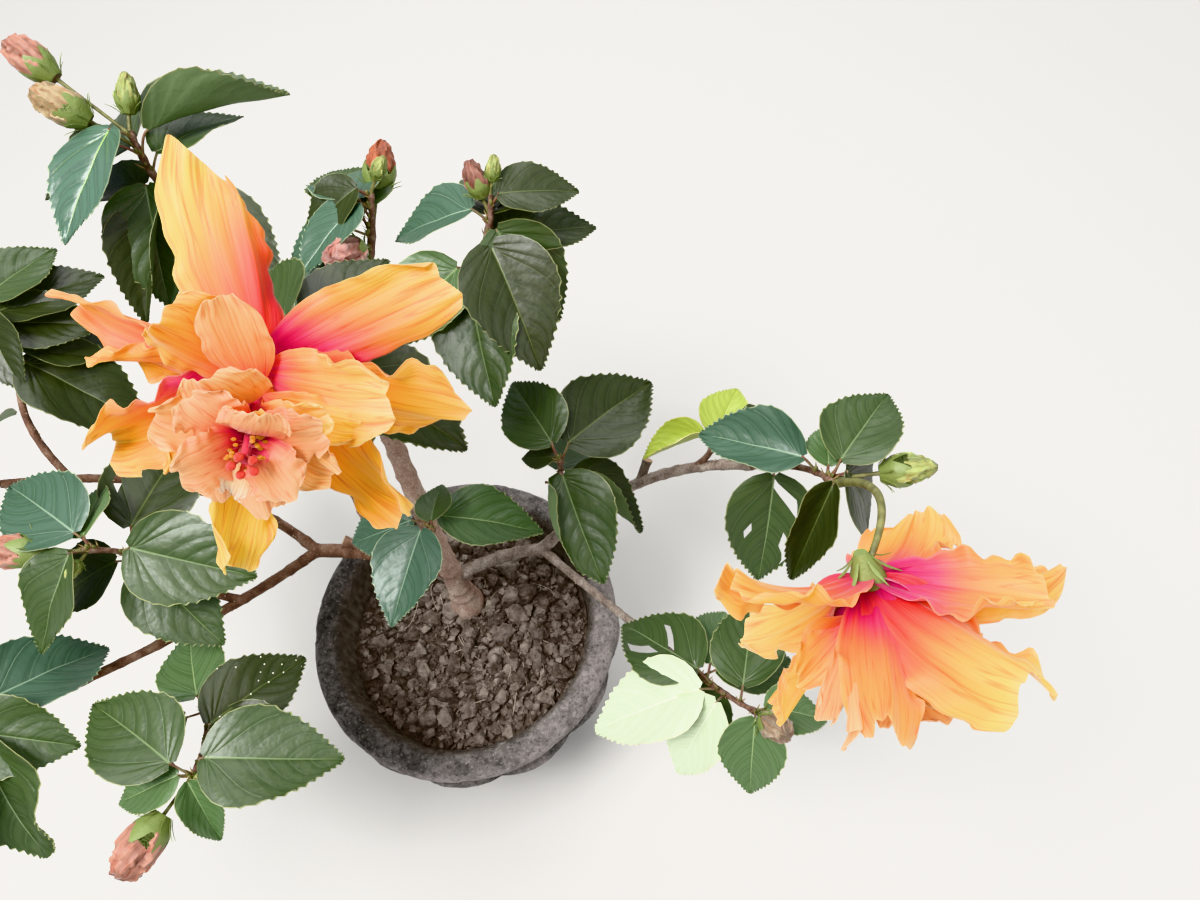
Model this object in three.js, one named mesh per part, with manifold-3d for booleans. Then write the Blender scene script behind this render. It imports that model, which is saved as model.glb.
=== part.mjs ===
// A double-flowered hibiscus shrub in a weathered cement pot.
// Millimetres, +Z up, origin in the middle of the pot's flat underside.
// Headings are degrees anticlockwise round +Z, with 0 along +X and 90 along +Y.

import * as THREE from "three";
import Module from "manifold-3d";
import { mergeVertices } from "three/addons/utils/BufferGeometryUtils.js";

const wasm = await Module();
wasm.setup();

// Driving sizes

const gap = 0.3; // clear space between two solids that meet
const sliver = 0.03; // facets thinner than this are taken out of a joined solid
const soilLevel = 165;

const pot = {
  sides: 36,
  floor: 18,
  // Radius and height of the outer face, from the foot to the lip.
  outside: [[88, 0], [92, 4], [107, 55], [119, 105], [126, 142], [129, 151], [131, 160], [129, 169],
    [132, 175], [136, 184], [135, 193], [130, 199], [121, 200], [114, 197]],
  inside: [[80, 18], [97, 90], [108, soilLevel], [111, 190]],
  lobes: 12, // rounded lobes of the band under the rim
  lobeDepth: 6,
  lobeLow: 142,
  lobeHigh: 175,
};

const flare = { swell: 0.8, reach: 13 }; // how much the trunk widens at its foot, and over what height

const limbSides = 6;
const limbStep = 32; // length of one straight facet of a limb

const stem = { sides: 5, steps: 4, base: 2.5, tip: 1.6 };

const leafForm = {
  width: 0.8, // of the blade, as a share of its length
  thickness: 1.1,
  // Half the blade's width at shares of its length, both as shares.
  rows: [[0, 0.02], [0.3, 0.48], [0.66, 0.38], [1, 0.02]],
  fold: 0.26, // how steeply the halves rise from the midrib
  curl: 0.15, // how far the tip hangs, as a share of the length
  petiole: 0.24, // its length as a share of the blade's
  petioleHalf: [0.7, 1.1], // half its thickness, at its root and at the blade
  riseAtBase: 36, // how steeply a petiole climbs low on the stem
  riseAtTip: 60,
  dip: [4, 20], // least and greatest slope of a blade below level
  roll: 36, // range of its tilt about the midrib
};

// A blade keeps these distances from what is there already, measured between sample points. It is
// turned and dipped further until it does.
const room = { wood: 6, own: 4, leaf: 10, petal: 7 };
const turnsTried = [0, 14, -14, 28, -28, 42, -42];
const dipPerTurn = 0.5;

// Limbs: each starts at a share of the way along an earlier one, passes a point half way and ends at
// another, and tapers between its two radii.
const limbs = [
  {
    name: "trunk", foot: [-5, 27, soilLevel + gap],
    through: [-8, 46, 315], to: [-10, 79, 465], radii: [9.5, 6.2],
  },
  {
    name: "bough_right", on: ["trunk", 0.17],
    through: [36, 44, 229], to: [75, 45, 243], radii: [5.6, 5],
  },
  {
    name: "bough_left", on: ["trunk", 0.2],
    through: [-60, 41, 250], to: [-111, 39, 270], radii: [6.6, 5.6],
  },
  {
    name: "bough_left_lower", on: ["bough_left", 1],
    through: [-172, -35, 316], to: [-245, -122, 400], radii: [4.4, 2.9],
  },
  {
    name: "bough_left_upper", on: ["bough_left", 1],
    through: [-184, 60, 352], to: [-277, 30, 430], radii: [4.2, 2.7],
  },
  {
    name: "bough_left_inner", on: ["bough_left", 0.5],
    through: [-52, 62, 390], to: [-15, 45, 520], radii: [5, 3.4],
  },
  {
    name: "bough_left_front", on: ["bough_left_lower", 0.46],
    through: [-160, -64, 328], to: [-140, -103, 348], radii: [3.6, 3],
  },
  {
    name: "bough_left_middle", on: ["bough_left_lower", 0.36],
    through: [-180, -15, 345], to: [-183, -17, 388], radii: [3.2, 2.6],
  },
  {
    name: "bough_left_back", on: ["bough_left_upper", 0.84],
    through: [-262, 70, 438], to: [-266, 98, 456], radii: [2.6, 2.4],
  },
  {
    name: "bough_right_upper", on: ["bough_right", 1],
    through: [160, 60, 332], to: [240, 22, 432], radii: [4.8, 3.4],
  },
  {
    name: "bough_right_lower", on: ["bough_right", 1],
    through: [142, -20, 266], to: [196, -77, 310], radii: [3.6, 2.6],
  },
  {
    name: "bough_right_middle", on: ["bough_right_upper", 0.14],
    through: [97, 46, 318], to: [103, 39, 362], radii: [3.2, 2.6],
  },
  {
    name: "bough_top_left", on: ["trunk", 1],
    through: [-62, 122, 494], to: [-125, 170, 540], radii: [4.6, 3.2],
  },
  {
    name: "bough_top_middle", on: ["trunk", 1],
    through: [26, 108, 484], to: [62, 122, 502], radii: [4.2, 3.2],
  },
  {
    name: "bough_top_back", on: ["trunk", 0.92],
    through: [-9, 112, 482], to: [-2, 136, 514], radii: [3.4, 2.8],
  },
];

// Stubs of old branches that were cut off: share along the limb, heading, rise, length and radius.
const stubs = {
  bough_left: [0.52, 168, 30, 34, 5.2],
  bough_right_upper: [0.52, 60, 45, 20, 3.6],
};

// Masses: each has one stem that goes on from a limb. A leaf is [share along the stem, heading, blade
// length], and a fourth number sets how far a blade that hangs dips. A bud is [share, heading, rise,
// stalk, length].
const masses = [
  {
    name: "bloom_left", on: ["bough_left_inner", 1], through: [-2, 26, 588], to: [9, -22, 638],
    leaves: [[0.05, 336, 84], [0.12, 208, 76], [0.2, 300, 64], [0.4, 130, 70], [0.3, 60, 62]],
    buds: [],
    bloom: { axis: [0.22, -0.9, 0.38], form: "spread" },
  },
  {
    name: "mass_right_top", on: ["bough_right_upper", 1], through: [264, 0, 470], to: [277, -25, 498],
    leaves: [[0.2, 262, 74, 44], [0.7, 156, 66], [0.05, 96, 42], [0.92, 54, 62], [0.86, 84, 34],
      [0.85, 340, 68, 62], [1, 240, 60, 35]],
    buds: [[0.9, 0, 12, 27, 31]],
  },
  {
    name: "bloom_right", on: ["mass_right_top", 1], through: [284, -62, 560], to: [271, -101, 568],
    leaves: [],
    buds: [],
    bloom: { axis: [0.3, -0.6, -0.72], form: "hanging" },
  },
  {
    name: "mass_left_front", on: ["bough_left_front", 1], through: [-127, -128, 363], to: [-119, -158, 385],
    leaves: [[0.6, 48, 74], [1, 146, 78, 0], [0.85, 0, 84], [0.98, 200, 46], [1, 282, 44, 26],
      [0.15, 214, 66], [0.2, 118, 62], [0.4, 330, 66]],
    buds: [[0.96, 244, 8, 28, 40], [0.9, 312, 34, 9, 13]],
  },
  {
    name: "mass_left_end", on: ["bough_left_lower", 1], through: [-268, -140, 422], to: [-290, -160, 448],
    leaves: [[0.15, 40, 80, 30], [0.35, 354, 66], [0.1, 322, 84], [0.25, 252, 74], [0.4, 128, 70],
      [0.6, 290, 72], [0.7, 196, 66], [0.85, 62, 60], [0.92, 330, 54], [1, 168, 40]],
    buds: [[1, 232, 30, 24, 36]],
  },
  {
    name: "mass_left_middle", on: ["bough_left_middle", 1], through: [-182, -19, 418], to: [-196, -26, 440],
    leaves: [[0.35, 76, 88, 2], [0.9, 100, 48], [0.82, 146, 78, 0], [0.5, 348, 82], [0.2, 318, 76, 20],
      [0.15, 200, 66], [0.9, 244, 70, 24]],
    buds: [[1, 181, 5, 24, 36], [0.93, 262, 20, 10, 15]],
  },
  {
    name: "mass_left_tip", on: ["bough_left_upper", 1], through: [-300, 26, 448], to: [-318, 30, 474],
    leaves: [[0.15, 300, 70], [0.25, 222, 76], [0.4, 66, 72], [0.6, 162, 74], [0.75, 264, 64],
      [0.85, 108, 60], [0.92, 24, 52]],
    buds: [[1, 185, 40, 22, 34]],
  },
  {
    name: "mass_left_back", on: ["bough_left_back", 1], through: [-272, 116, 468], to: [-278, 132, 492],
    leaves: [[0.2, 330, 90, 24], [0.4, 168, 74], [0.75, 44, 72], [0.3, 24, 70, 30], [0.7, 112, 74],
      [0.9, 300, 56], [0.95, 60, 60], [1, 205, 50],
      [0.7, 40, 60, 0]],
    buds: [],
  },
  {
    name: "mass_top_left", on: ["bough_top_left", 1], through: [-134, 181, 562], to: [-138, 192, 584],
    leaves: [[0.65, 34, 88, 4], [0.92, 246, 74, 14], [0.02, 324, 78], [0.04, 256, 72, 26],
      [0.3, 286, 74, 30], [0.45, 50, 62], [0.5, 128, 74], [0.7, 198, 62], [0.12, 170, 70]],
    buds: [[0.95, 152, 36, 50, 32], [0.8, 168, 40, 28, 34], [1, 84, 40, 10, 24]],
  },
  {
    name: "mass_top_middle", on: ["bough_top_middle", 1], through: [78, 137, 530], to: [84, 151, 554],
    leaves: [[0.45, 296, 82, 30], [0.55, 330, 74, 44], [0.04, 280, 74], [0.68, 174, 62], [0.2, 218, 70],
      [0.3, 22, 68], [0.5, 60, 66], [0.62, 108, 64], [0.85, 12, 50], [0.6, 304, 66, 0]],
    buds: [[0.75, 116, 54, 12, 24], [1, 70, 50, 8, 16]],
  },
  {
    name: "mass_top_back", on: ["bough_top_back", 1], through: [4, 148, 532], to: [8, 160, 552],
    leaves: [[0.04, 234, 76, 34], [0.15, 186, 78, 26], [0.42, 204, 62], [0.4, 100, 74],
      [0.62, 152, 66], [0.8, 226, 56], [0.95, 170, 50], [0.5, 136, 40, 36]],
    buds: [[0.2, 84, 20, 40, 36], [0.3, 252, 36, 12, 34], [1, 40, 50, 10, 16]],
  },
  {
    name: "mass_right_low", on: ["bough_right_lower", 1], through: [214, -98, 332], to: [236, -119, 358],
    leaves: [[0.4, 140, 76], [0.8, 78, 66, 6], [0.5, 193, 84], [0.6, 230, 68, 40], [0.98, 290, 58, 26],
      [1, 346, 46], [0.2, 12, 62], [0.1, 258, 60], [0.3, 60, 58]],
    buds: [[0.95, 310, 45, 12, 28]],
  },
  {
    name: "mass_right_young", on: ["bough_right_upper", 0.76], through: [215, 44, 414], to: [214, 50, 434],
    leaves: [[0.75, 186, 46], [0.5, 66, 48]],
    buds: [],
  },
  {
    name: "mass_right_middle", on: ["bough_right_middle", 1], through: [110, 36, 396], to: [114, 32, 430],
    leaves: [[0.9, 45, 80, 5], [0.7, 288, 76], [1, 120, 62, 0], [0.5, 336, 66, 30], [0.35, 200, 50],
      [0.2, 80, 60], [0.97, 170, 26]],
    buds: [],
  },
  {
    name: "mass_over_pot", on: ["trunk", 0.47], through: [5, 27, 347], to: [16, 10, 372],
    leaves: [[0.3, 192, 60], [0.5, 356, 76], [0.7, 254, 70], [1, 90, 36]],
    buds: [],
  },
];

// Blooms: the petals of the two forms. A petal is [turn about the bloom's axis, length, width, angle it
// leaves the axis at, how far it then bends, where it stands on the column]. Turn 0 lies to the right.
const blooms = {
  spread: [
    [95, 92, 50, 108, 30, 3],
    [18, 92, 46, 72, 24, 4],
    [158, 88, 34, 100, 24, 5],
    [172, 72, 28, 98, 20, 9],
    [200, 86, 44, 86, 14, 4],
    [338, 86, 46, 68, 30, 3],
    [306, 90, 42, 54, 16, 5],
    [248, 88, 36, 38, 18, 6],
    [358, 64, 44, 40, 34, 14],
    [120, 50, 42, 88, -24, 18],
    [90, 48, 28, 66, 30, 22],
    [104, 40, 34, 28, 50, 36],
  ],
  hanging: [
    [140, 84, 48, 104, 40, 3],
    [210, 82, 50, 54, 24, 4],
    [180, 82, 52, 38, 12, 5],
    [100, 84, 36, 76, 12, 6],
    [20, 80, 28, 22, 12, 6],
    [64, 88, 56, 74, 14, 6],
    [22, 72, 46, 68, 20, 4],
    [350, 94, 56, 54, 28, 3],
    [302, 74, 50, 52, 56, 3],
    [262, 74, 46, 44, 30, 4],
    [128, 66, 14, 60, 8, 8],
    [330, 64, 14, 18, 8, 10],
  ],
};
// The ring of small petals at the column's end: every other one opens less and stands further along.
const tuft = { count: 6, at: 54, length: 30, width: 27, opens: [44, 22], bends: 60, stagger: 2 };
const column = { sides: 4, sunk: 2, length: 74, radius: 3.4 };
const pads = { count: 5, sides: 3, reach: 6, behind: 4, ahead: 3, radii: [1, 2.4] }; // at the column's end
const petalForm = {
  thickness: 1.2,
  ripple: 0.07, // height of the wave at its tip, as a share of its length
  waves: 3.4, // how many radians of wave lie across half of it
  cup: 0.16, // how far its edges turn back, as a share of half its width
  claw: 0.16, // its width at the root, as a share of the whole
  round: [0.04, 0.9], // the part of a half circle that its outline follows
  rootOut: 2.5,
  jitter: 0.05,
  broad: 30, // width from which it has more facets
  steps: { broad: [3, 4], narrow: [2, 3] }, // across and along
};
const calyx = { sides: 6, behind: 9, ahead: 15, radii: [3, 9.5] };

// Small helpers

const degrees = THREE.MathUtils.degToRad;
const lerp = THREE.MathUtils.lerp;
const point = (p) => new THREE.Vector3(...p);
const upright = new THREE.Vector3(0, 0, 1);
const offAxis = new THREE.Vector3(0.2, 0.9, -0.4); // a direction that no limb follows

// The same run of numbers from 0 to 1 for the same seed.
function seeded(seed) {
  let state = seed;
  return () => {
    state = (state * 16807) % 2147483647;
    return state / 2147483647;
  };
}

function pointing(heading, rise) {
  const h = degrees(heading);
  const r = degrees(rise);
  return new THREE.Vector3(Math.cos(r) * Math.cos(h), Math.cos(r) * Math.sin(h), Math.sin(r));
}

function curveThrough(from, through, to) {
  const ends = from.clone().add(point(to)).multiplyScalar(0.5);
  const control = point(through).multiplyScalar(2).sub(ends);
  return new THREE.QuadraticBezierCurve3(from, control, point(to));
}

// Reads a value at a share from rows of [share, value].
function fromRows(rows, share) {
  const i = rows.findIndex(([s], k) => k > 0 && share <= s);
  if (i < 0) return rows[rows.length - 1][1];
  const [s1, v1] = rows[i - 1];
  const [s2, v2] = rows[i];
  return lerp(v1, v2, (share - s1) / (s2 - s1));
}

// Solids

function solidOf(geometry) {
  const bare = geometry.clone();
  bare.deleteAttribute("normal");
  bare.deleteAttribute("uv");
  const merged = mergeVertices(bare, 1e-4);
  const vertProperties = merged.attributes.position.array;
  const triVerts = new Uint32Array(merged.index.array);
  return new wasm.Manifold(new wasm.Mesh({ numProp: 3, vertProperties, triVerts }));
}

// A geometry with each of its points moved to a new place.
function shaped(geometry, placeOf) {
  const position = geometry.attributes.position;
  for (let i = 0; i < position.count; i++) {
    const place = placeOf(position.getX(i), position.getY(i), position.getZ(i));
    position.setXYZ(i, place.x, place.y, place.z);
  }
  return solidOf(geometry);
}

// A cylinder bent along a curve, with its radius given along it, and grown all over by extra.
function along(curve, radiusAt, sides, steps, extra = 0, foot = null) {
  const chord = curve.getPoint(1).sub(curve.getPoint(0));
  const reference = offAxis.clone().cross(chord);
  return shaped(new THREE.CylinderGeometry(1, 1, 1, sides, steps), (x, y, z) => {
    const share = y + 0.5;
    const way = curve.getTangent(share);
    const side = reference.clone().addScaledVector(way, -reference.dot(way)).normalize();
    const radius = radiusAt(share) + extra;
    const place = curve.getPoint(share);
    if (share < 1e-6) place.addScaledVector(way, -extra);
    if (share > 1 - 1e-6) place.addScaledVector(way, extra);
    place.addScaledVector(side, x * radius).addScaledVector(side.clone().cross(way), z * radius);
    if (foot !== null && share < 1e-6) place.z = foot;
    return place;
  });
}

const line = (from, to) => new THREE.LineCurve3(from, to);
const tapering = ([from, to]) => (share) => lerp(from, to, share);

function joined(solids) {
  return solids.reduce((whole, solid) => whole.add(solid));
}

function largestBody(solid) {
  return solid.decompose().reduce((best, body) => (body.volume() > best.volume() ? body : best));
}

function meshOf(name, solid, material) {
  const made = solid.getMesh();
  const geometry = new THREE.BufferGeometry();
  geometry.setAttribute("position", new THREE.BufferAttribute(made.vertProperties, 3));
  geometry.setIndex(new THREE.BufferAttribute(made.triVerts, 1));
  geometry.computeVertexNormals();
  const mesh = new THREE.Mesh(geometry, material);
  mesh.name = name;
  return mesh;
}

// Pot and soil

// How far the lobed band stands out at a height and an angle round the pot.
function lobe(height, angle) {
  const share = (height - pot.lobeLow) / (pot.lobeHigh - pot.lobeLow);
  if (share <= 0 || share >= 1) return 0;
  return pot.lobeDepth * Math.sin(Math.PI * share) * Math.abs(Math.cos((pot.lobes * angle) / 2));
}

function turned(profile, swell = () => 0) {
  const points = profile.map(([r, z]) => new THREE.Vector2(r, z));
  const geometry = new THREE.LatheGeometry(points, pot.sides).rotateX(Math.PI / 2);
  return shaped(geometry, (x, y, z) => {
    const radius = Math.hypot(x, y);
    const grown = radius < 1 ? 1 : (radius + swell(z, Math.atan2(y, x), radius)) / radius;
    return new THREE.Vector3(x * grown, y * grown, z);
  });
}

function potSolid() {
  const profile = [[0, 0], ...pot.outside, ...[...pot.inside].reverse(), [0, pot.floor]];
  const wall = pot.inside[pot.inside.length - 1][0];
  return turned(profile, (z, angle, radius) => (radius > wall ? lobe(z, angle) : 0));
}

function soilSolid() {
  const clear = pot.inside.filter(([, z]) => z <= soilLevel).map(([r, z]) => [r - 2 * gap, z]);
  clear[0] = [clear[0][0], pot.floor + gap];
  return turned([[0, pot.floor + gap], ...clear, [0, soilLevel]]);
}

// Limbs

const curves = {}; // the centre line of each limb and stem, by name
const taken = []; // places that leaves keep clear of: point, kind and owner

function startOf(row) {
  if (row.foot) return point(row.foot);
  const [name, share] = row.on;
  const start = curves[name].getPoint(share);
  if (share === 1) start.addScaledVector(curves[name].getTangent(1), gap);
  return start;
}

function take(curve, owner, radius) {
  const steps = Math.ceil(curve.getLength() / room.wood);
  for (let i = 0; i <= steps; i++) {
    taken.push({ place: curve.getPoint(i / steps), kind: "wood", owner, radius });
  }
}

function limbSolid(row, extra) {
  const curve = curves[row.name];
  const plain = tapering(row.radii);
  const flared = (share) => {
    const height = curve.getPoint(share).z - soilLevel;
    return plain(share) * (1 + flare.swell * Math.exp(-height / flare.reach));
  };
  const steps = Math.ceil(curve.getLength() / limbStep);
  const foot = row.foot ? row.foot[2] : null;
  let solid = along(curve, row.foot ? flared : plain, limbSides, steps, extra, foot);
  if (stubs[row.name]) {
    const [share, heading, rise, length, radius] = stubs[row.name];
    const from = curve.getPoint(share);
    const to = from.clone().addScaledVector(pointing(heading, rise), length);
    solid = solid.add(along(line(from, to), () => radius, limbSides, 1, extra));
  }
  return solid;
}

// Leaves

// A place on a blade: its share along, from -1 to 1 across, and a lift off its face.
function bladePlace(leaf, share, across, lift) {
  const half = fromRows(leafForm.rows, share) * leafForm.width * leaf.length;
  const fold = leafForm.fold * Math.abs(across) * half;
  const sag = leafForm.curl * share * share * leaf.length;
  return leaf.base
    .clone()
    .addScaledVector(leaf.way, leaf.length * share)
    .addScaledVector(leaf.side, half * across)
    .addScaledVector(leaf.up, fold - sag + lift);
}

// The petiole's root and the blade's base and directions, for a heading, a rise, a dip and a roll.
function leafAt(curve, share, length, heading, rise, dip, roll) {
  const root = curve.getPoint(share);
  const base = root.clone().addScaledVector(pointing(heading, rise), length * leafForm.petiole);
  const way = pointing(heading, -dip);
  const level = way.clone().cross(upright).normalize();
  const lift = level.clone().cross(way);
  const side = level.multiplyScalar(Math.cos(roll)).addScaledVector(lift, Math.sin(roll));
  return { root, base, way, side, up: side.clone().cross(way), length };
}

const sampleRows = [0.05, 0.25, 0.45, 0.65, 0.85, 1];
const sampleAcross = [-1, -0.5, 0, 0.5, 1];

function bladeSamples(leaf) {
  return sampleRows.flatMap((share) => sampleAcross.map((across) => bladePlace(leaf, share, across, 0)));
}

function isClear(samples, owner) {
  return taken.every(({ place, kind, owner: other, radius }) => {
    const near = other === owner ? room.own : room[kind] + radius;
    return samples.every((sample) => sample.distanceToSquared(place) >= near * near);
  });
}

// The leaf of one row, turned and dipped further each time until it is clear, or nothing.
function grownLeaf(mass, [share, heading, length, ownDip], random) {
  const rise = lerp(leafForm.riseAtBase, leafForm.riseAtTip, share);
  const chanceDip = lerp(...leafForm.dip, random());
  const dip = ownDip ?? chanceDip;
  const roll = degrees(leafForm.roll * (random() - 0.5));
  for (const turn of turnsTried) {
    const tipped = dip + dipPerTurn * Math.abs(turn);
    const leaf = leafAt(curves[mass.name], share, length, heading + turn, rise, tipped, roll);
    if (isClear(bladeSamples(leaf), mass.name)) return leaf;
  }
  return null;
}

// Petiole and blade in one piece: a box drawn out from the root to the blade's base and its tip.
function leafSolid(leaf) {
  const rows = leafForm.rows;
  const steps = rows.length;
  const slab = new THREE.BoxGeometry(2, steps, 1, 2, steps);
  return shaped(slab, (x, y, z) => {
    const step = Math.round(y + steps / 2);
    if (step > 1) return bladePlace(leaf, rows[step - 1][0], x, z * leafForm.thickness);
    const centre = step === 0 ? leaf.root : leaf.base;
    const half = leafForm.petioleHalf[step];
    return centre.clone().addScaledVector(leaf.side, x * half).addScaledVector(leaf.up, 2 * z * half);
  });
}

// Buds

// A closed bud is fattest a third of the way up and blunt at its tip. Radii are shares of its length.
const budForm = {
  rows: [[0, 0.12], [0.28, 0.29], [0.66, 0.27], [1, 0.08]],
  sides: 5,
  stalkSides: 3,
  stalkEnd: 0.2, // how far the stalk runs up inside it
  room: 0.2,
};

function budSolid(mass, [share, heading, rise, stalk, length]) {
  const root = curves[mass.name].getPoint(share);
  const way = pointing(heading, rise);
  const neck = root.clone().addScaledVector(way, stalk);
  const tip = neck.clone().addScaledVector(way, length);
  const inside = neck.clone().addScaledVector(way, budForm.stalkEnd * length);
  take(line(root, tip), mass.name, budForm.room * length);
  const radiusAt = (s) => length * fromRows(budForm.rows, s);
  const egg = along(line(neck, tip), radiusAt, budForm.sides, budForm.rows.length - 1);
  return [egg, along(line(root, inside), () => stem.tip, budForm.stalkSides, 1)];
}

// Blooms

// A place on a petal, whose middle line leaves the bloom's axis and bends steadily away from it.
function petalPlace(petal, share, across, lift) {
  const start = degrees(petal.opens);
  const bend = degrees(petal.bends);
  const angle = start + bend * share;
  const outward = (petal.length * (Math.cos(start) - Math.cos(angle))) / bend;
  const forward = (petal.length * (Math.sin(angle) - Math.sin(start))) / bend;
  const round = Math.sin(Math.PI * lerp(...petalForm.round, share));
  const half = 0.5 * petal.width * lerp(petalForm.claw, 1, round);
  const height = petalForm.ripple * petal.length * share * share;
  const wave = height * Math.sin(petal.phase + petalForm.waves * across);
  const face = wave - petalForm.cup * half * across * across + lift;
  return petal.base
    .clone()
    .addScaledVector(petal.out, outward - face * Math.cos(angle))
    .addScaledVector(petal.axis, forward + face * Math.sin(angle))
    .addScaledVector(petal.side, half * across);
}

function petalSolid(petal) {
  const steps = petal.width >= petalForm.broad ? petalForm.steps.broad : petalForm.steps.narrow;
  const sheet = new THREE.BoxGeometry(2, 1, petalForm.thickness, ...steps);
  return shaped(sheet, (x, y, z) => petalPlace(petal, y + 0.5, x, z));
}

// The petals of one bloom, each with its own seeded difference in size.
function petalsOf(mass, random) {
  const axis = point(mass.bloom.axis).normalize();
  const right = new THREE.Vector3(1, 0, 0).addScaledVector(axis, -axis.x).normalize();
  const over = axis.clone().cross(right);
  const foot = curves[mass.name].getPoint(1);
  const tips = [];
  for (let i = 0; i < tuft.count; i++) {
    const other = i % 2;
    const at = tuft.at + other * tuft.stagger;
    tips.push([(360 * i) / tuft.count, tuft.length, tuft.width, tuft.opens[other], tuft.bends, at]);
  }
  return [...blooms[mass.bloom.form], ...tips].map(([turn, length, width, opens, bends, at]) => {
    const angle = degrees(turn);
    const out = right.clone().multiplyScalar(Math.cos(angle)).addScaledVector(over, Math.sin(angle));
    const size = 1 + petalForm.jitter * (random() - 0.5);
    return {
      axis,
      out,
      side: out.clone().cross(axis),
      base: foot.clone().addScaledVector(axis, at).addScaledVector(out, petalForm.rootOut),
      length: length * size,
      width,
      opens,
      bends,
      phase: 2 * Math.PI * random(),
    };
  });
}

function bloomSolids(mass, random) {
  const petals = petalsOf(mass, random);
  const { axis, out, side } = petals[0];
  const foot = curves[mass.name].getPoint(1);
  const onAxis = (distance) => foot.clone().addScaledVector(axis, distance);
  for (const petal of petals) {
    for (const share of sampleRows) {
      for (const across of sampleAcross) {
        const place = petalPlace(petal, share, across, 0);
        taken.push({ place, kind: "petal", owner: mass.name, radius: 0 });
      }
    }
  }
  const solids = petals.map(petalSolid);
  const columnLine = line(onAxis(-column.sunk), onAxis(column.length));
  const calyxLine = line(onAxis(-calyx.behind), onAxis(calyx.ahead));
  solids.push(along(columnLine, () => column.radius, column.sides, 1));
  solids.push(along(calyxLine, tapering(calyx.radii), calyx.sides, 1));
  for (let i = 0; i < pads.count; i++) {
    const angle = (2 * Math.PI * i) / pads.count;
    const end = onAxis(column.length + pads.ahead)
      .addScaledVector(out, pads.reach * Math.cos(angle))
      .addScaledVector(side, pads.reach * Math.sin(angle));
    solids.push(along(line(onAxis(column.length - pads.behind), end), tapering(pads.radii), pads.sides, 1));
  }
  return solids;
}

// Assembly

const finish = (color, roughness) => new THREE.MeshStandardMaterial({ color, roughness, metalness: 0 });
const materials = {
  pot: finish(0x6b6764, 0.92),
  soil: finish(0x6a574a, 1),
  bark: finish(0x8a6f5e, 0.85),
  foliage: finish(0x35573a, 0.42),
  petals: finish(0xf0a24a, 0.6),
};

const seeds = { petals: 7919, leaves: 104729, nextMass: 1299 };
const shrub = new THREE.Group();
const fences = []; // each finished limb and stem, grown by the gap

function clearOf(solid, others) {
  const left = others.reduce((whole, other) => whole.subtract(other), solid);
  return largestBody(left).asOriginal().simplify(sliver);
}

shrub.add(meshOf("pot", potSolid(), materials.pot));
shrub.add(meshOf("soil", soilSolid(), materials.soil));

for (const row of limbs) {
  curves[row.name] = curveThrough(startOf(row), row.through, row.to);
  shrub.add(meshOf(row.name, clearOf(limbSolid(row, 0), fences), materials.bark));
  fences.push(limbSolid(row, gap));
  take(curves[row.name], row.name, row.radii[0]);
}

for (const mass of masses) {
  curves[mass.name] = curveThrough(startOf(mass), mass.through, mass.to);
  take(curves[mass.name], mass.name, stem.tip);
}

// Blooms and buds have their places first, and the leaves then keep clear of them.
const pieces = masses.map((mass, i) => [
  ...(mass.bloom ? bloomSolids(mass, seeded(seeds.petals * (i + 1))) : []),
  ...mass.buds.flatMap((bud) => budSolid(mass, bud)),
]);

masses.forEach((mass, i) => {
  const random = seeded(seeds.leaves + seeds.nextMass * i);
  for (const row of mass.leaves) {
    const leaf = grownLeaf(mass, row, random);
    if (!leaf) continue;
    for (const place of bladeSamples(leaf)) {
      taken.push({ place, kind: "leaf", owner: mass.name, radius: 0 });
    }
    pieces[i].push(leafSolid(leaf));
  }
});

masses.forEach((mass, i) => {
  const radiusAt = tapering([stem.base, stem.tip]);
  const shoot = (extra) => along(curves[mass.name], radiusAt, stem.sides, stem.steps, extra);
  const whole = joined([shoot(0), ...pieces[i]]);
  shrub.add(meshOf(mass.name, clearOf(whole, fences), mass.bloom ? materials.petals : materials.foliage));
  fences.push(shoot(gap));
});

export default shrub;
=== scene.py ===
import math
from functools import lru_cache
from itertools import chain

import bmesh
import bpy
import numpy as np
from mathutils import Matrix, Vector, noise


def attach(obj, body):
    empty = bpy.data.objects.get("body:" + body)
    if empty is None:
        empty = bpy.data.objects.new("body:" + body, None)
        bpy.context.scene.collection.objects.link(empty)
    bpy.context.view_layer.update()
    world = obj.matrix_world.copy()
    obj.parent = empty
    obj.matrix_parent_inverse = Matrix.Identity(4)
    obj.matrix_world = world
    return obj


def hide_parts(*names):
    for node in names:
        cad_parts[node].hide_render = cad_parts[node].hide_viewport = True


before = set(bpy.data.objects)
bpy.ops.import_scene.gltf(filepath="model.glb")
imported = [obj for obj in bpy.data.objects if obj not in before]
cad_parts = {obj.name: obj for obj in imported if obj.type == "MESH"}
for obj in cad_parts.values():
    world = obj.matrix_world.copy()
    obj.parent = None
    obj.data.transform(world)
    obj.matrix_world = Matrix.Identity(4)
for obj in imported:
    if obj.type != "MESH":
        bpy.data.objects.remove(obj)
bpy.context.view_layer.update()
mm = 0.001

# small helpers


def lerp(a, b, share):
    return (1 - share) * a + share * b


def ease(low, high, value):  # 0 below low, 1 above high, smooth between
    share = np.clip((value - low) / (high - low), 0, 1)
    return share * share * (3 - 2 * share)


def unit(v):
    v = np.asarray(v, float)
    return v / np.linalg.norm(v, axis=-1, keepdims=True)


def pointing(heading, rise):
    h, r = math.radians(heading), math.radians(rise)
    return np.array([math.cos(r) * math.cos(h), math.cos(r) * math.sin(h), math.sin(r)])


def seeded(seed):  # the same run of numbers from 0 to 1 for the same seed
    state = seed
    while True:
        state = (state * 16807) % 2147483647
        yield state / 2147483647


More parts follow.
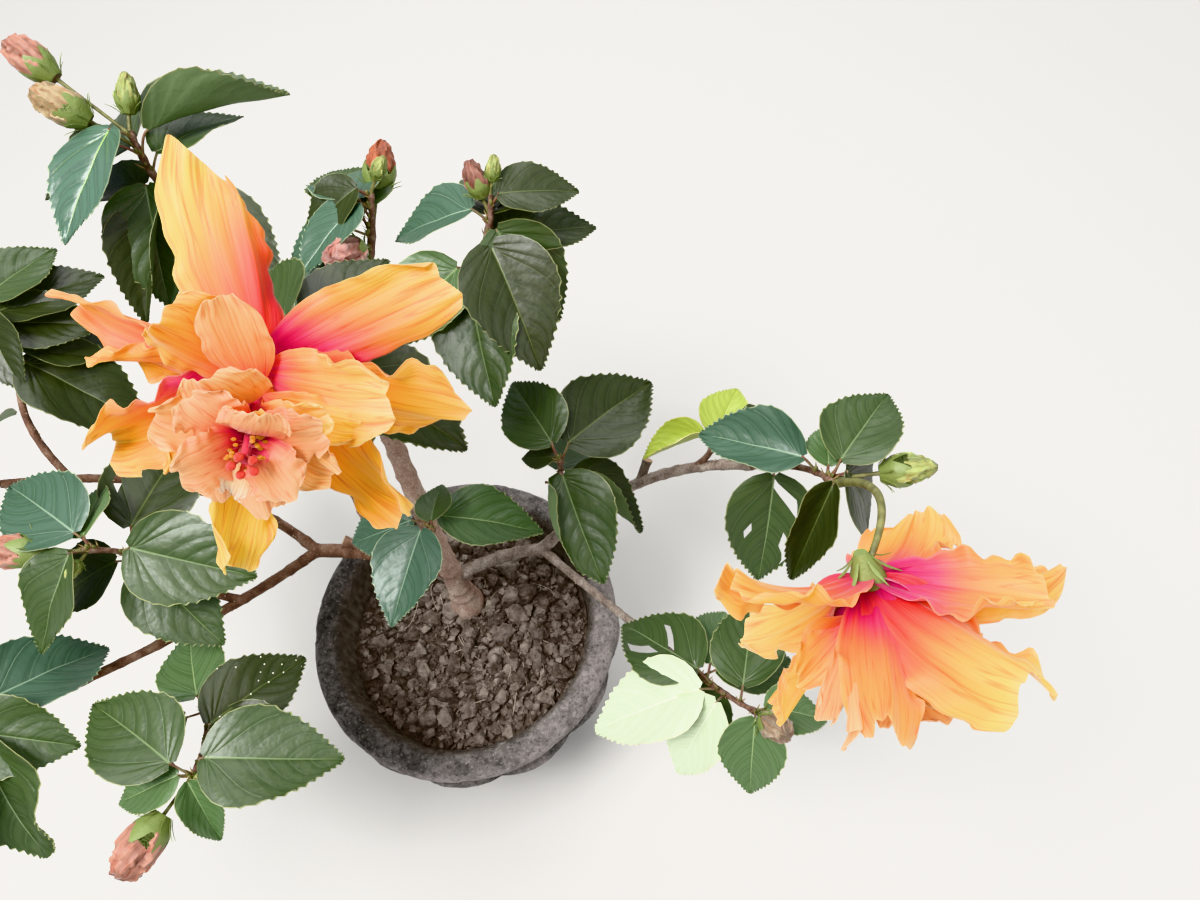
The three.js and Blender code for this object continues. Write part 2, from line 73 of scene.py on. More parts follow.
def noiseAt(points, size=1.0, offset=0.0):  # smooth noise from -1 to 1 with lumps of about size
    return np.array([noise.noise(Vector(p) / size + Vector((offset, offset, offset))) for p in points])


def linear(hexText):  # an sRGB hex colour as the linear one that a shader takes
    parts = [int(hexText[i:i + 2], 16) / 255 for i in (1, 3, 5)]
    return [p / 12.92 if p <= 0.04045 else ((p + 0.055) / 1.055) ** 2.4 for p in parts] + [1]


def tintOf(hexText):  # the same without its alpha, for colours kept on a piece's points
    return np.array(linear(hexText)[:3])


# curves and placed shapes


def curveThrough(start, through, end):
    start, through, end = (np.array(p, float) for p in (start, through, end))
    return start, 2 * through - (start + end) / 2, end


def onCurve(curve, share):
    a, b, c = curve
    s = np.asarray(share, float)[..., None]
    return (1 - s) ** 2 * a + 2 * (1 - s) * s * b + s * s * c


def wayAlong(curve, share):
    a, b, c = curve
    s = np.asarray(share, float)[..., None]
    return unit((1 - s) * (b - a) + s * (c - b) + 1e-9)


def lengthOf(curve):
    places = onCurve(curve, np.linspace(0, 1, 201))
    return float(np.linalg.norm(np.diff(places, axis=0), axis=1).sum())


def straight(start, end):
    return curveThrough(start, (np.asarray(start) + np.asarray(end)) / 2, end)


def shapeOf(bm):  # a shape's points and faces as arrays, for its placed copies
    bmesh.ops.recalc_face_normals(bm, faces=bm.faces[:])
    bm.verts.index_update()
    faces = [[v.index for v in f.verts] for f in bm.faces]
    shape = {
        "points": np.array([v.co[:] for v in bm.verts]),
        "corners": np.array(list(chain.from_iterable(faces))),
        "sizes": np.array([len(f) for f in faces]),
        "middles": np.array([f.calc_center_median()[:] for f in bm.faces]),
    }
    bm.free()
    return shape


@lru_cache(None)
def rod(sides, rings):  # an upright unit cylinder with rings along it
    bm = bmesh.new()
    bmesh.ops.create_cone(bm, cap_ends=True, segments=sides, radius1=1, radius2=1, depth=1)
    long = [e for e in bm.edges if abs(e.verts[0].co.z - e.verts[1].co.z) > 0.5]
    if rings > 1:
        bmesh.ops.subdivide_edges(bm, edges=long, cuts=rings - 1, use_grid_fill=True)
    return shapeOf(bm)


@lru_cache(None)
def sheet(columns, rows, holes=()):  # a thin closed sheet from 0 to columns and 0 to rows
    bm = bmesh.new()
    bmesh.ops.create_grid(bm, x_segments=columns, y_segments=rows, size=0.5)
    for v in bm.verts:
        v.co.x = round((v.co.x + 0.5) * columns)
        v.co.y = round((v.co.y + 0.5) * rows)
    eaten = [f for f in bm.faces if any(
        abs(f.calc_center_median().x - x) < wide and abs(f.calc_center_median().y - y) < tall
        for x, y, wide, tall in holes)]
    bmesh.ops.delete(bm, geom=eaten, context="FACES")
    bmesh.ops.solidify(bm, geom=bm.faces[:], thickness=1)
    middle = sum(v.co.z for v in bm.verts) / len(bm.verts)
    for v in bm.verts:
        v.co.z = 1 if v.co.z > middle else -1
    return shapeOf(bm)


@lru_cache(None)
def ball(divisions):
    bm = bmesh.new()
    bmesh.ops.create_icosphere(bm, subdivisions=divisions, radius=1)
    return shapeOf(bm)


def turnedSolid(profile, steps):  # rows of radius and height, turned round +Z
    bm = bmesh.new()
    ring = [bm.verts.new((r, 0, z)) for r, z in profile]
    edges = [bm.edges.new(pair) for pair in zip(ring, ring[1:])]
    bmesh.ops.spin(bm, geom=ring + edges, cent=(0, 0, 0), axis=(0, 0, 1), angle=2 * math.pi,
                   steps=steps, use_merge=True)
    bmesh.ops.remove_doubles(bm, verts=bm.verts[:], dist=0.01)
    return shapeOf(bm)


def unrolled(turn, steps):  # adds up steps outwards from the midline, each turned by its own angle
    runs = []
    for part in (np.cos(turn), np.sin(turn)):
        sums = np.cumsum((part[:, 1:] + part[:, :-1]) / 2 * steps, axis=1)
        run = np.concatenate([np.zeros((len(turn), 1)), sums], axis=1)
        middle = run.shape[1] // 2
        runs.append(run - run[:, middle:middle + 1])
    return runs


def twoFaced(surface, column, row, lift):  # a sheet's points, lifted off the surface along its normals
    normal = unit(np.cross(np.gradient(surface, axis=1), np.gradient(surface, axis=0)))
    return surface[row, column] + normal[row, column] * lift[:, None]


def sheetMap(shape):  # a bake map with the two faces of a sheet side by side
    x, y, z = (shape["points"] / shape["points"].max(axis=0))[shape["corners"]].T
    middles = np.repeat(shape["middles"][:, 2], shape["sizes"])
    return np.column_stack([0.01 + 0.47 * x + 0.5 * (middles < -0.9), 0.01 + 0.97 * y])


def put(heap, shape, points, slots=0, uv=None, tint=None):
    slots = np.full(len(shape["sizes"]), slots) if np.isscalar(slots) else slots
    heap.append({"shape": shape, "points": points, "slots": slots, "uv": uv, "tint": tint})


def joinedPiece(name, heap, materials, replaced=(), sharp=50, sheets=False):
    def gathered(key):
        return np.concatenate([h[key] for h in heap])

    shapes = [h["shape"] for h in heap]
    starts = np.cumsum([0] + [len(h["points"]) for h in heap])
    points = gathered("points") * mm
    corners = np.concatenate([s["corners"] + start for s, start in zip(shapes, starts)])
    sizes = np.concatenate([s["sizes"] for s in shapes])
    mesh = bpy.data.meshes.new(name)
    mesh.vertices.add(len(points))
    mesh.vertices.foreach_set("co", points.ravel())
    mesh.loops.add(len(corners))
    mesh.loops.foreach_set("vertex_index", corners)
    mesh.polygons.add(len(sizes))
    mesh.polygons.foreach_set("loop_start", np.cumsum(sizes) - sizes)
    used, slots = np.unique(gathered("slots"), return_inverse=True)
    mesh.polygons.foreach_set("material_index", slots)
    mesh.update(calc_edges=True)
    if sheets:  # each sheet has its own cell of the bake map
        cells = math.ceil(math.sqrt(len(heap)))
        maps = [(sheetMap(s) + (i % cells, i // cells)) / cells for i, s in enumerate(shapes)]
        mesh.uv_layers.new(name="OFBake").data.foreach_set("uv", np.concatenate(maps).ravel())
    if heap[0]["uv"] is not None:
        mesh.uv_layers.new(name="alongMap").data.foreach_set("uv", gathered("uv")[corners].ravel())
    if heap[0]["tint"] is not None:
        tint = mesh.attributes.new("tint", "FLOAT_COLOR", "POINT")
        tint.data.foreach_set("color", np.column_stack([gathered("tint"), np.ones(len(points))]).ravel())
    mesh.validate()
    mesh.shade_smooth()
    mesh.set_sharp_from_angle(angle=math.radians(sharp))
    for number in used:
        mesh.materials.append(materials[number])
    piece = bpy.data.objects.new(name, mesh)
    bpy.context.scene.collection.objects.link(piece)
    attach(piece, "root")
    if replaced:
        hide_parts(*replaced)


offAxis = np.array([0.2, 0.9, -0.4])  # a direction that no limb follows


def rodPoints(shape, curve, radiusAt, relief=None):
    x, y, z = shape["points"].T
    share = np.clip(z + 0.5, 0, 1)
    reference = np.cross(offAxis, curve[2] - curve[0])
    way = wayAlong(curve, share)
    side = unit(reference - (way @ reference)[:, None] * way)
    other = np.cross(way, side)
    radius = radiusAt(share)
    if relief is not None:
        radius = radius + relief(np.arctan2(y, x), share)
    return onCurve(curve, share) + (x * radius)[:, None] * side + (y * radius)[:, None] * other


def addRod(heap, sides, rings, curve, radiusAt, slots):
    shape = rod(sides, rings)
    put(heap, shape, rodPoints(shape, curve, radiusAt), slots)


def sliverPoints(shape, root, way, up, length, width, curl):  # a thin pointed blade
    columns, rows = shape["points"][:, 0].max(), shape["points"][:, 1].max()
    across = shape["points"][:, 0] / columns * 2 - 1
    share = shape["points"][:, 1] / rows
    half = width / 2 * (0.35 + 0.65 * np.sin(np.pi * np.clip(share, 0.08, 0.97))) * (1 - 0.8 * share ** 3)
    side = unit(np.cross(way, up))
    lift = 0.18 * shape["points"][:, 2] + curl * length * share ** 2 + 0.3 * half * across ** 2
    return (root + np.outer(share * length, way) + np.outer(across * half, side)
            + np.outer(lift, np.cross(side, way)))


# materials


# Adds a node and gives one of its outputs. Its inputs are numbers, hex colours and other nodes' outputs,
# and a colour ramp has rows of place and colour.
def addNode(material, kind, inputs=None, output=0, ramp=(), **settings):
    made = material.node_tree.nodes.new("ShaderNode" + kind)
    for name, value in settings.items():
        setattr(made, name, value)
    if ramp:
        while len(made.color_ramp.elements) < len(ramp):
            made.color_ramp.elements.new(0.5)
        for element, (place, colour) in zip(made.color_ramp.elements, ramp):
            element.position = place
            element.color = linear(colour)
    for socket, value in (inputs or {}).items():
        if isinstance(value, bpy.types.NodeSocket):
            material.node_tree.links.new(value, made.inputs[socket])
        else:
            made.inputs[socket].default_value = linear(value) if isinstance(value, str) else value
    return made.outputs[output]


def newFinish(name, colour, roughness, **sockets):
    material = bpy.data.materials.new(name)
    material.use_nodes = True
    shader = material.node_tree.nodes["Principled BSDF"]
    shader.inputs["Base Color"].default_value = linear(colour)
    shader.inputs["Roughness"].default_value = roughness
    for socket, value in sockets.items():
        shader.inputs[socket.replace("_", " ")].default_value = value
    return material


def feed(material, socket, value):
    shader = material.node_tree.nodes["Principled BSDF"]
    material.node_tree.links.new(value, shader.inputs[socket])


def noiseOn(material, place, stretch, scale, detail):
    moved = addNode(material, "Mapping", {"Vector": place, "Scale": stretch})
    return addNode(material, "TexNoise", {"Vector": moved, "Scale": scale, "Detail": detail})


def grain(material, size, detail=3, stretch=(1, 1, 1)):  # noise with grains of size in mm
    place = addNode(material, "TexCoord", output="Object")
    return noiseOn(material, place, stretch, 1 / (size * mm), detail)


def streaks(material, across, along, detail):  # noise drawn out along a petal, from its own map
    place = addNode(material, "UVMap", uv_map="alongMap")
    return noiseOn(material, place, (across, along, 1), 1.0, detail)


def roughen(material, height, depth):  # relief that is depth mm high
    bump = addNode(material, "Bump", {"Height": height, "Strength": 1.0, "Distance": depth * mm})
    feed(material, "Normal", bump)


def shadedFinish(name, colour, roughness, size, detail, rows):  # its colour runs through rows by a grain
    made = newFinish(name, colour, roughness)
    shade = grain(made, size, detail)
    feed(made, "Base Color", addNode(made, "ValToRGB", {"Fac": shade}, ramp=rows))
    return made, shade


colourMix = {"output": 2, "data_type": "RGBA"}  # how a Mix node mixes colours


# Living leaf, waxy on top: dark and satin, with a broad soft shine and fine crinkles between veins.
leafColours = {
    # kind: blade, panels beside a vein, main veins, side veins, margin, underside, roughness
    "deep": ("#323a1c", "#2c3418", "#58623a", "#3a4424", "#767b50", "#5d6d47", 0.46),
    "mid": ("#42522f", "#3b4b2a", "#71825a", "#4d5f3a", "#8c9060", "#6a7f56", 0.42),
    # the bluish blades of teal and gloss are partly a painted sky sheen on the leaf's own green
    "teal": ("#496250", "#425a48", "#829880", "#567059", "#94a07e", "#6d8868", 0.4),
    "gloss": ("#4f6a58", "#476050", "#88a652", "#5c765e", "#9aa884", "#6d8868", 0.32),
    "fresh": ("#587048", "#506740", "#8da070", "#668055", "#a3a878", "#7f9762", 0.42),
    # sunlit is painted sunlight: green leaves coloured nearly white where light falls on them
    "sunlit": ("#dbe6c8", "#d1ddbc", "#f0f3e0", "#e2ead2", "#dfe2bc", "#b0c195", 0.36),
    "lime": ("#9dab4c", "#95a345", "#bcc476", "#a8b45a", "#c0b670", "#a8b364", 0.44),
}
leafKinds = list(leafColours)
leafParts = ("blade", "panel", "vein", "side vein", "margin", "underside")
blade, panel, vein, sideVein, margin, underside = range(len(leafParts))
leafFinishes = []
for kind, row in leafColours.items():
    for part, colour in zip(leafParts, row):
        rough = row[-1] + (0.15 if part == "underside" else 0)
        made = newFinish(f"leaf {kind} {part}", colour, rough, Specular_IOR_Level=0.62)
        if part in ("blade", "panel", "underside"):
            fine, soft = grain(made, 1.6, 2), grain(made, 5, 1)  # soft crinkles 5 mm across
            crinkles = addNode(made, "Math", {0: fine, 1: 0.2, 2: soft}, operation="MULTIPLY_ADD")
            roughen(made, crinkles, 0.4)
        leafFinishes.append(made)

# Petal: thin, matt and slightly velvety, lit through a little. Fine darker streaks run along it.
petalFinish = newFinish("hibiscus petal", "#f6b060", 0.55, Sheen_Weight=0.25, Sheen_Roughness=0.4,
                        Subsurface_Weight=0.18, Subsurface_Radius=(0.012, 0.006, 0.003),
                        Subsurface_Scale=0.35)
petalTint = addNode(petalFinish, "Attribute", attribute_name="tint")
petalStreak = streaks(petalFinish, 26, 1.4, 2)
petalShade = addNode(petalFinish, "ValToRGB", {"Fac": petalStreak}, ramp=[
    [0.32, "#e2875a"], [0.48, "#ffffff"], [1, "#ffffff"]])
petalColour = addNode(petalFinish, "Mix", {0: 0.42, 6: petalTint, 7: petalShade},
                      blend_type="MULTIPLY", **colourMix)
petalCell = streaks(petalFinish, 13, 1.1, 1)
petalLine = addNode(petalFinish, "Math", {0: petalCell, 1: 0.5}, operation="SUBTRACT")
petalLine = addNode(petalFinish, "Math", {0: petalLine}, operation="ABSOLUTE")
petalVein = addNode(petalFinish, "ValToRGB", {"Fac": petalLine}, ramp=[
    [0, "#d06a48"], [0.012, "#efb498"], [0.028, "#ffffff"]])
petalColour = addNode(petalFinish, "Mix", {0: 0.5, 6: petalColour, 7: petalVein},
                      blend_type="MULTIPLY", **colourMix)
feed(petalFinish, "Base Color", petalColour)
furrows = addNode(petalFinish, "Math", {0: petalLine, 1: 2, 2: petalStreak}, operation="MULTIPLY_ADD")
roughen(petalFinish, furrows, 0.35)

# Sepal: fresh green, satin, with fine ribs.
sepalFinish = newFinish("sepal", "#76844a", 0.5)
roughen(sepalFinish, grain(sepalFinish, 1.5, 3), 0.3)

# Young stems and bloom stalks are olive green, leaf stalks half red, older twigs brown and dull.
stemFinish, _ = shadedFinish("young stem", "#6f7142", 0.55, 5, 4, [[0.35, "#5b5a35"], [0.6, "#7d7b4c"]])
petioleFinish, _ = shadedFinish("leaf stalk", "#6f5a45", 0.5, 9, 2, [[0.35, "#7d5449"], [0.6, "#857a58"]])
twigFinish, twigGrain = shadedFinish("twig bark", "#6a5142", 0.7, 4, 5, [
    [0.3, "#523a2f"], [0.5, "#775a4c"], [0.7, "#978070"]])
roughen(twigFinish, twigGrain, 0.6)
dryFinish = newFinish("dried stipule", "#a58e63", 0.8)
speckFinish = newFinish("dried droplet", "#d3cfbb", 0.8)


# Bark: thin, dry and finely cracked, with pale corky spots. Tan on the trunk, brown on the left.
def barkFinish(name, rows, size):
    made = newFinish(name, rows[1][1], 0.85)
    coarse, fine = grain(made, size, 6, (1, 1, 0.35)), grain(made, 1.6, 4)
    colour = addNode(made, "ValToRGB", {"Fac": coarse}, ramp=rows)
    cracks = addNode(made, "ValToRGB", {"Fac": fine}, ramp=[[0.35, "#8f837b"], [0.6, "#ffffff"]])
    colour = addNode(made, "Mix", {0: 0.5, 6: colour, 7: cracks}, blend_type="MULTIPLY", **colourMix)
    feed(made, "Base Color", colour)
    roughen(made, fine, 0.7)
    return made


barkFinishes = [
    barkFinish("bark of the trunk", [[0.3, "#9e8072"], [0.5, "#bfa192"], [0.72, "#d6c0b1"]], 14),
    barkFinish("bark of brown boughs", [[0.3, "#5c4136"], [0.5, "#80604f"], [0.72, "#a28673"]], 9),
    barkFinish("bark of grey boughs", [[0.3, "#796a5f"], [0.5, "#9d8d82"], [0.72, "#baaea1"]], 9),
    newFinish("cork spots", "#b3a08d", 0.9),
    newFinish("cut wood", "#b7977a", 0.8),
]
print("finishes made")

# growth, by the rule that the solids follow

gap = 0.3
soilLevel = 165
limbRows = {  # start, as a place or as a share of another limb, a place on the way, the end, two radii
    "trunk": [(-5, 27, soilLevel + gap), (-8, 46, 315), (-10, 79, 465), (9.5, 6.2)],
    "bough_right": [("trunk", 0.17), (36, 44, 229), (75, 45, 243), (5.6, 5)],
    "bough_left": [("trunk", 0.2), (-60, 41, 250), (-111, 39, 270), (6.6, 5.6)],
    "bough_left_lower": [("bough_left", 1), (-172, -35, 316), (-245, -122, 400), (4.4, 2.9)],
    "bough_left_upper": [("bough_left", 1), (-184, 60, 352), (-277, 30, 430), (4.2, 2.7)],
    "bough_left_inner": [("bough_left", 0.5), (-52, 62, 390), (-15, 45, 520), (5, 3.4)],
    "bough_left_front": [("bough_left_lower", 0.46), (-160, -64, 328), (-140, -103, 348), (3.6, 3)],
    "bough_left_middle": [("bough_left_lower", 0.36), (-180, -15, 345), (-183, -17, 388), (3.2, 2.6)],
    "bough_left_back": [("bough_left_upper", 0.84), (-262, 70, 438), (-266, 98, 456), (2.6, 2.4)],
    "bough_right_upper": [("bough_right", 1), (160, 60, 332), (240, 22, 432), (4.8, 3.4)],
    "bough_right_lower": [("bough_right", 1), (142, -20, 266), (196, -77, 310), (3.6, 2.6)],
    "bough_right_middle": [("bough_right_upper", 0.14), (97, 46, 318), (103, 39, 362), (3.2, 2.6)],
    "bough_top_left": [("trunk", 1), (-62, 122, 494), (-125, 170, 540), (4.6, 3.2)],
    "bough_top_middle": [("trunk", 1), (26, 108, 484), (62, 122, 502), (4.2, 3.2)],
    "bough_top_back": [("trunk", 0.92), (-9, 112, 482), (-2, 136, 514), (3.4, 2.8)],
}
stubs = {"bough_left": (0.52, 168, 30, 34, 5.2), "bough_right_upper": (0.52, 60, 45, 20, 3.6)}

# A mass has a start, a place on the way, an end, its leaves and buds, and the greens of its first leaves.
# A leaf is (share along the stem, heading, blade length[, dip]), a bud (share, heading, rise, stalk,
# length, colours).
massRows = {
    "bloom_left": [
        ("bough_left_inner", 1), (-2, 26, 588), (9, -22, 638),
        [(0.05, 336, 84), (0.12, 208, 76), (0.2, 300, 64), (0.4, 130, 70), (0.3, 60, 62)], [],
        "deep mid"],
    "mass_right_top": [
        ("bough_right_upper", 1), (264, 0, 470), (277, -25, 498),
        [(0.2, 262, 74, 44), (0.7, 156, 66), (0.05, 96, 42), (0.92, 54, 62), (0.86, 84, 34),
         (0.85, 340, 68, 62), (1, 240, 60, 35)],
        [(0.9, 0, 12, 27, 31, "green")], "mid teal deep mid fresh deep deep"],
    "bloom_right": [("mass_right_top", 1), (284, -62, 560), (271, -101, 568), [], [], ""],
    "mass_left_front": [
        ("bough_left_front", 1), (-127, -128, 363), (-119, -158, 385),
        [(0.6, 48, 74), (1, 146, 78, 0), (0.85, 0, 84), (0.98, 200, 46), (1, 282, 44, 26),
         (0.15, 214, 66), (0.2, 118, 62), (0.4, 330, 66)],
        [(0.96, 244, 8, 28, 40, "peach"), (0.9, 312, 34, 9, 13, "green")], "deep mid mid fresh fresh"],
    "mass_left_end": [
        ("bough_left_lower", 1), (-268, -140, 422), (-290, -160, 448),
        [(0.15, 40, 80, 30), (0.35, 354, 66), (0.1, 322, 84), (0.25, 252, 74), (0.4, 128, 70),
         (0.6, 290, 72), (0.7, 196, 66), (0.85, 62, 60), (0.92, 330, 54), (1, 168, 40)],
        [(1, 232, 30, 24, 36, "peach")], "teal mid mid"],
    "mass_left_middle": [
        ("bough_left_middle", 1), (-182, -19, 418), (-196, -26, 440),
        [(0.35, 76, 88, 2), (0.9, 100, 48), (0.82, 146, 78, 0), (0.5, 348, 82), (0.2, 318, 76, 20),
         (0.15, 200, 66), (0.9, 244, 70, 24)],
        [(1, 181, 5, 24, 36, "peach"), (0.93, 262, 20, 10, 15, "green")], "deep fresh teal mid mid"],
    "mass_left_tip": [
        ("bough_left_upper", 1), (-300, 26, 448), (-318, 30, 474),
        [(0.15, 300, 70), (0.25, 222, 76), (0.4, 66, 72), (0.6, 162, 74), (0.75, 264, 64),
         (0.85, 108, 60), (0.92, 24, 52)],
        [(1, 185, 40, 22, 34, "brown")], ""],
    "mass_left_back": [
        ("bough_left_back", 1), (-272, 116, 468), (-278, 132, 492),
        [(0.2, 330, 90, 24), (0.4, 168, 74), (0.75, 44, 72), (0.3, 24, 70, 30), (0.7, 112, 74),
         (0.9, 300, 56), (0.95, 60, 60), (1, 205, 50), (0.7, 40, 60, 0)], [], "deep any deep deep"],
    "mass_top_left": [
        ("bough_top_left", 1), (-134, 181, 562), (-138, 192, 584),
        [(0.65, 34, 88, 4), (0.92, 246, 74, 14), (0.02, 324, 78), (0.04, 256, 72, 26),
         (0.3, 286, 74, 30), (0.45, 50, 62), (0.5, 128, 74), (0.7, 198, 62), (0.12, 170, 70)],
        [(0.95, 152, 36, 50, 32, "peach"), (0.8, 168, 40, 28, 34, "cream"),
         (1, 84, 40, 10, 24, "green")], "mid gloss deep deep"],
    "mass_top_middle": [
        ("bough_top_middle", 1), (78, 137, 530), (84, 151, 554),
        [(0.45, 296, 82, 30), (0.55, 330, 74, 44), (0.04, 280, 74), (0.68, 174, 62), (0.2, 218, 70),
         (0.3, 22, 68), (0.5, 60, 66), (0.62, 108, 64), (0.85, 12, 50), (0.6, 304, 66, 0)],
        [(0.75, 116, 54, 12, 24, "brown"), (1, 70, 50, 8, 16, "green")], "deep mid any teal"],
    "mass_top_back": [
        ("bough_top_back", 1), (4, 148, 532), (8, 160, 552),
        [(0.04, 234, 76, 34), (0.15, 186, 78, 26), (0.42, 204, 62), (0.4, 100, 74), (0.62, 152, 66),
         (0.8, 226, 56), (0.95, 170, 50), (0.5, 136, 40, 36)],
        [(0.2, 84, 20, 40, 36, "rust"), (0.3, 252, 36, 12, 34, "pink"), (1, 40, 50, 10, 16, "green")],
        "teal teal teal"],
    # its third and fourth leaves are the sunlit kind, painted sunlight
    "mass_right_low": [
        ("bough_right_lower", 1), (214, -98, 332), (236, -119, 358),
        [(0.4, 140, 76), (0.8, 78, 66, 6), (0.5, 193, 84), (0.6, 230, 68, 40), (0.98, 290, 58, 26),
         (1, 346, 46), (0.2, 12, 62), (0.1, 258, 60), (0.3, 60, 58)],
        [(0.95, 310, 45, 12, 28, "faded")], "mid mid sunlit sunlit fresh"],
    "mass_right_young": [
        ("bough_right_upper", 0.76), (215, 44, 414), (214, 50, 434),
        [(0.75, 186, 46), (0.5, 66, 48)], [], "lime lime"],
    "mass_right_middle": [
        ("bough_right_middle", 1), (110, 36, 396), (114, 32, 430),
        [(0.9, 45, 80, 5), (0.7, 288, 76), (1, 120, 62, 0), (0.5, 336, 66, 30), (0.35, 200, 50),
         (0.2, 80, 60), (0.97, 170, 26)], [], "deep mid mid deep"],
    "mass_over_pot": [
        ("trunk", 0.47), (5, 27, 347), (16, 10, 372),
        [(0.3, 192, 60), (0.5, 356, 76), (0.7, 254, 70), (1, 90, 36)], [], "teal fresh teal"],
}
limbs = {name: dict(zip(("on", "through", "to", "radii"), row)) for name, row in limbRows.items()}
massKeys = ("on", "through", "to", "leaves", "buds", "greens")
masses = {name: dict(zip(massKeys, row)) for name, row in massRows.items()}

leafForm = {
    "width": 0.8, "solidRows": ([0, 0.3, 0.66, 1], [0.02, 0.48, 0.38, 0.02]),
    "fold": 0.26, "curl": 0.15, "petiole": 0.24, "rise": (36, 60), "dip": (4, 20), "roll": 36,
    "room": {"wood": 6, "own": 4, "leaf": 10, "petal": 7},
    "turns": (0, 14, -14, 28, -28, 42, -42), "dipPerTurn": 0.5,
    # the finer outline and relief of the seen leaf, as shares of its length
    "outline": ([0, 0.03, 0.08, 0.15, 0.23, 0.32, 0.42, 0.54, 0.66, 0.77, 0.87, 0.95, 1],
                [0.05, 0.2, 0.32, 0.415, 0.465, 0.485, 0.475, 0.425, 0.35, 0.255, 0.145, 0.055, 0.008]),
    "thickness": 0.4, "shoulder": 0.035, "bulge": 0.0055, "tooth": 0.013, "wave": 0.24,
    "buckle": 0.02, "mainVein": 2,
    # where each side vein leaves the midrib and meets the margin
    "veins": [(0.004, 0.15), (0.012, 0.34), (0.026, 0.56), (0.29, 0.7), (0.44, 0.81), (0.59, 0.9),
              (0.75, 0.965)],
    "veinWide": (0.01, 0.004), "ribWide": (0.009, 0.003),
    "across": (0.02, 0.18, 0.38, 0.58, 0.76, 0.9, 0.982, 1),  # columns, the first beside the midrib
    # how much one leaf differs from the next
    "vary": {"swell": (0.6, 1.3), "waves": (1.1, 2.2), "phase": (0, 6.28), "bend": (-0.05, 0.05),
             "fold": (0.7, 1.3)},
}
stemForm = {"base": 2.5, "tip": 1.6}
budRoom = 0.2
sampleAlong, sampleAcross = (a.ravel() for a in np.meshgrid(
    (0.05, 0.25, 0.45, 0.65, 0.85, 1), (-1, -0.5, 0, 0.5, 1), indexing="ij"))
bloomAxes = {"bloom_left": (0.22, -0.9, 0.38), "bloom_right": (0.3, -0.6, -0.72)}
# A petal is (turn about the axis, length, width, angle off the axis, bend, place on the column, palette,
# ruffle[, how it differs from a plain one]), where side tints its +side edge nearer the tip's colour.
blooms = {
    "bloom_left": [
        (95, 92, 50, 108, 30, 3, "flame", 0.25, {"side": -0.4, "folds": [(0.42, -62)], "tip": 0.05,
                                                 "slant": -0.16}),
        (18, 92, 46, 72, 24, 4, "rose", 0.3, {"side": -0.24, "folds": [(0.66, -40)], "throat": 3}),
        (158, 88, 34, 100, 24, 5, "coral", 0.4, {"side": 0.15, "folds": [(0.35, 75)]}),
        (172, 72, 28, 98, 20, 9, "gold", 1, {"twist": 50, "tip": 0.08}),
        (200, 86, 44, 86, 14, 4, "rose", 0.6, {"side": -0.1, "folds": [(-0.3, 60), (0.3, 50)],
                                               "tip": 0.05, "throat": 3}),
        (338, 86, 46, 68, 30, 3, "gold", 0.6, {"folds": [(-0.3, 40)], "tip": 0.06}),
        (306, 90, 42, 54, 16, 5, "amber", 0.4, {"side": -0.2, "twist": -30, "tip": 0.05}),
        (248, 88, 36, 38, 18, 6, "yellow", 0.7, {"twist": 55, "tip": 0.05}),
        (358, 64, 44, 40, 34, 14, "butter", 0.55, {"folds": [(0.4, 60)], "tip": 0.05, "throat": 3}),
        (120, 50, 42, 88, -24, 18, "amber", 0.3, {"cup": 1.5, "edge": 0.3}),
        (90, 48, 28, 66, 30, 22, "peach", 0.2, {"tip": 0.02}),
        (104, 40, 34, 28, 50, 36, "peach", 0.35, {"tip": 0.02}),
    ],
    "bloom_right": [
        (140, 84, 48, 104, 40, 3, "amber", 0.4, {"folds": [(-0.35, 60)]}),
        (210, 82, 50, 54, 24, 4, "butter", 0.45, {"throat": 0.4, "folds": [(0.3, 50), (-0.3, 40)]}),
        (180, 82, 52, 38, 12, 5, "amber", 0.5, {"edge": 0.3, "folds": [(0.3, -75)], "tip": 0.05}),
        (100, 84, 36, 76, 12, 6, "orange", 0.4, {"folds": [(0.2, 70)], "side": -0.1}),
        (20, 80, 28, 22, 12, 6, "peach", 0.9, {"twist": 40}),
        (64, 88, 56, 74, 14, 6, "flame", 0.4, {"folds": [(-0.4, 60), (0.25, 50)]}),
        (22, 72, 46, 68, 20, 4, "rose", 0.6, {"tip": 0.05}),
        (350, 94, 56, 54, 28, 3, "gold", 0.4, {"folds": [(-0.45, 80), (0.35, 60)]}),
        (302, 74, 50, 52, 56, 3, "rose", 0.6, {"edge": 0.2, "tip": 0.05}),
        (262, 74, 46, 44, 30, 4, "gold", 0.5, {"folds": [(-0.1, 80)], "tip": 0.05}),
        (128, 66, 14, 60, 8, 8, "peach", 0.6, {"twist": 60}),
        (330, 64, 14, 18, 8, 10, "peach", 0.6, {"twist": -60}),
    ],
}
# the tuft in the middle of each bloom, in two tiers
tuft = [(60 * i, 30, 27, 22 if i % 2 else 44, 60, 56 if i % 2 else 54, "salmon", 0.5, {"tip": 0.05})
        for i in range(6)]
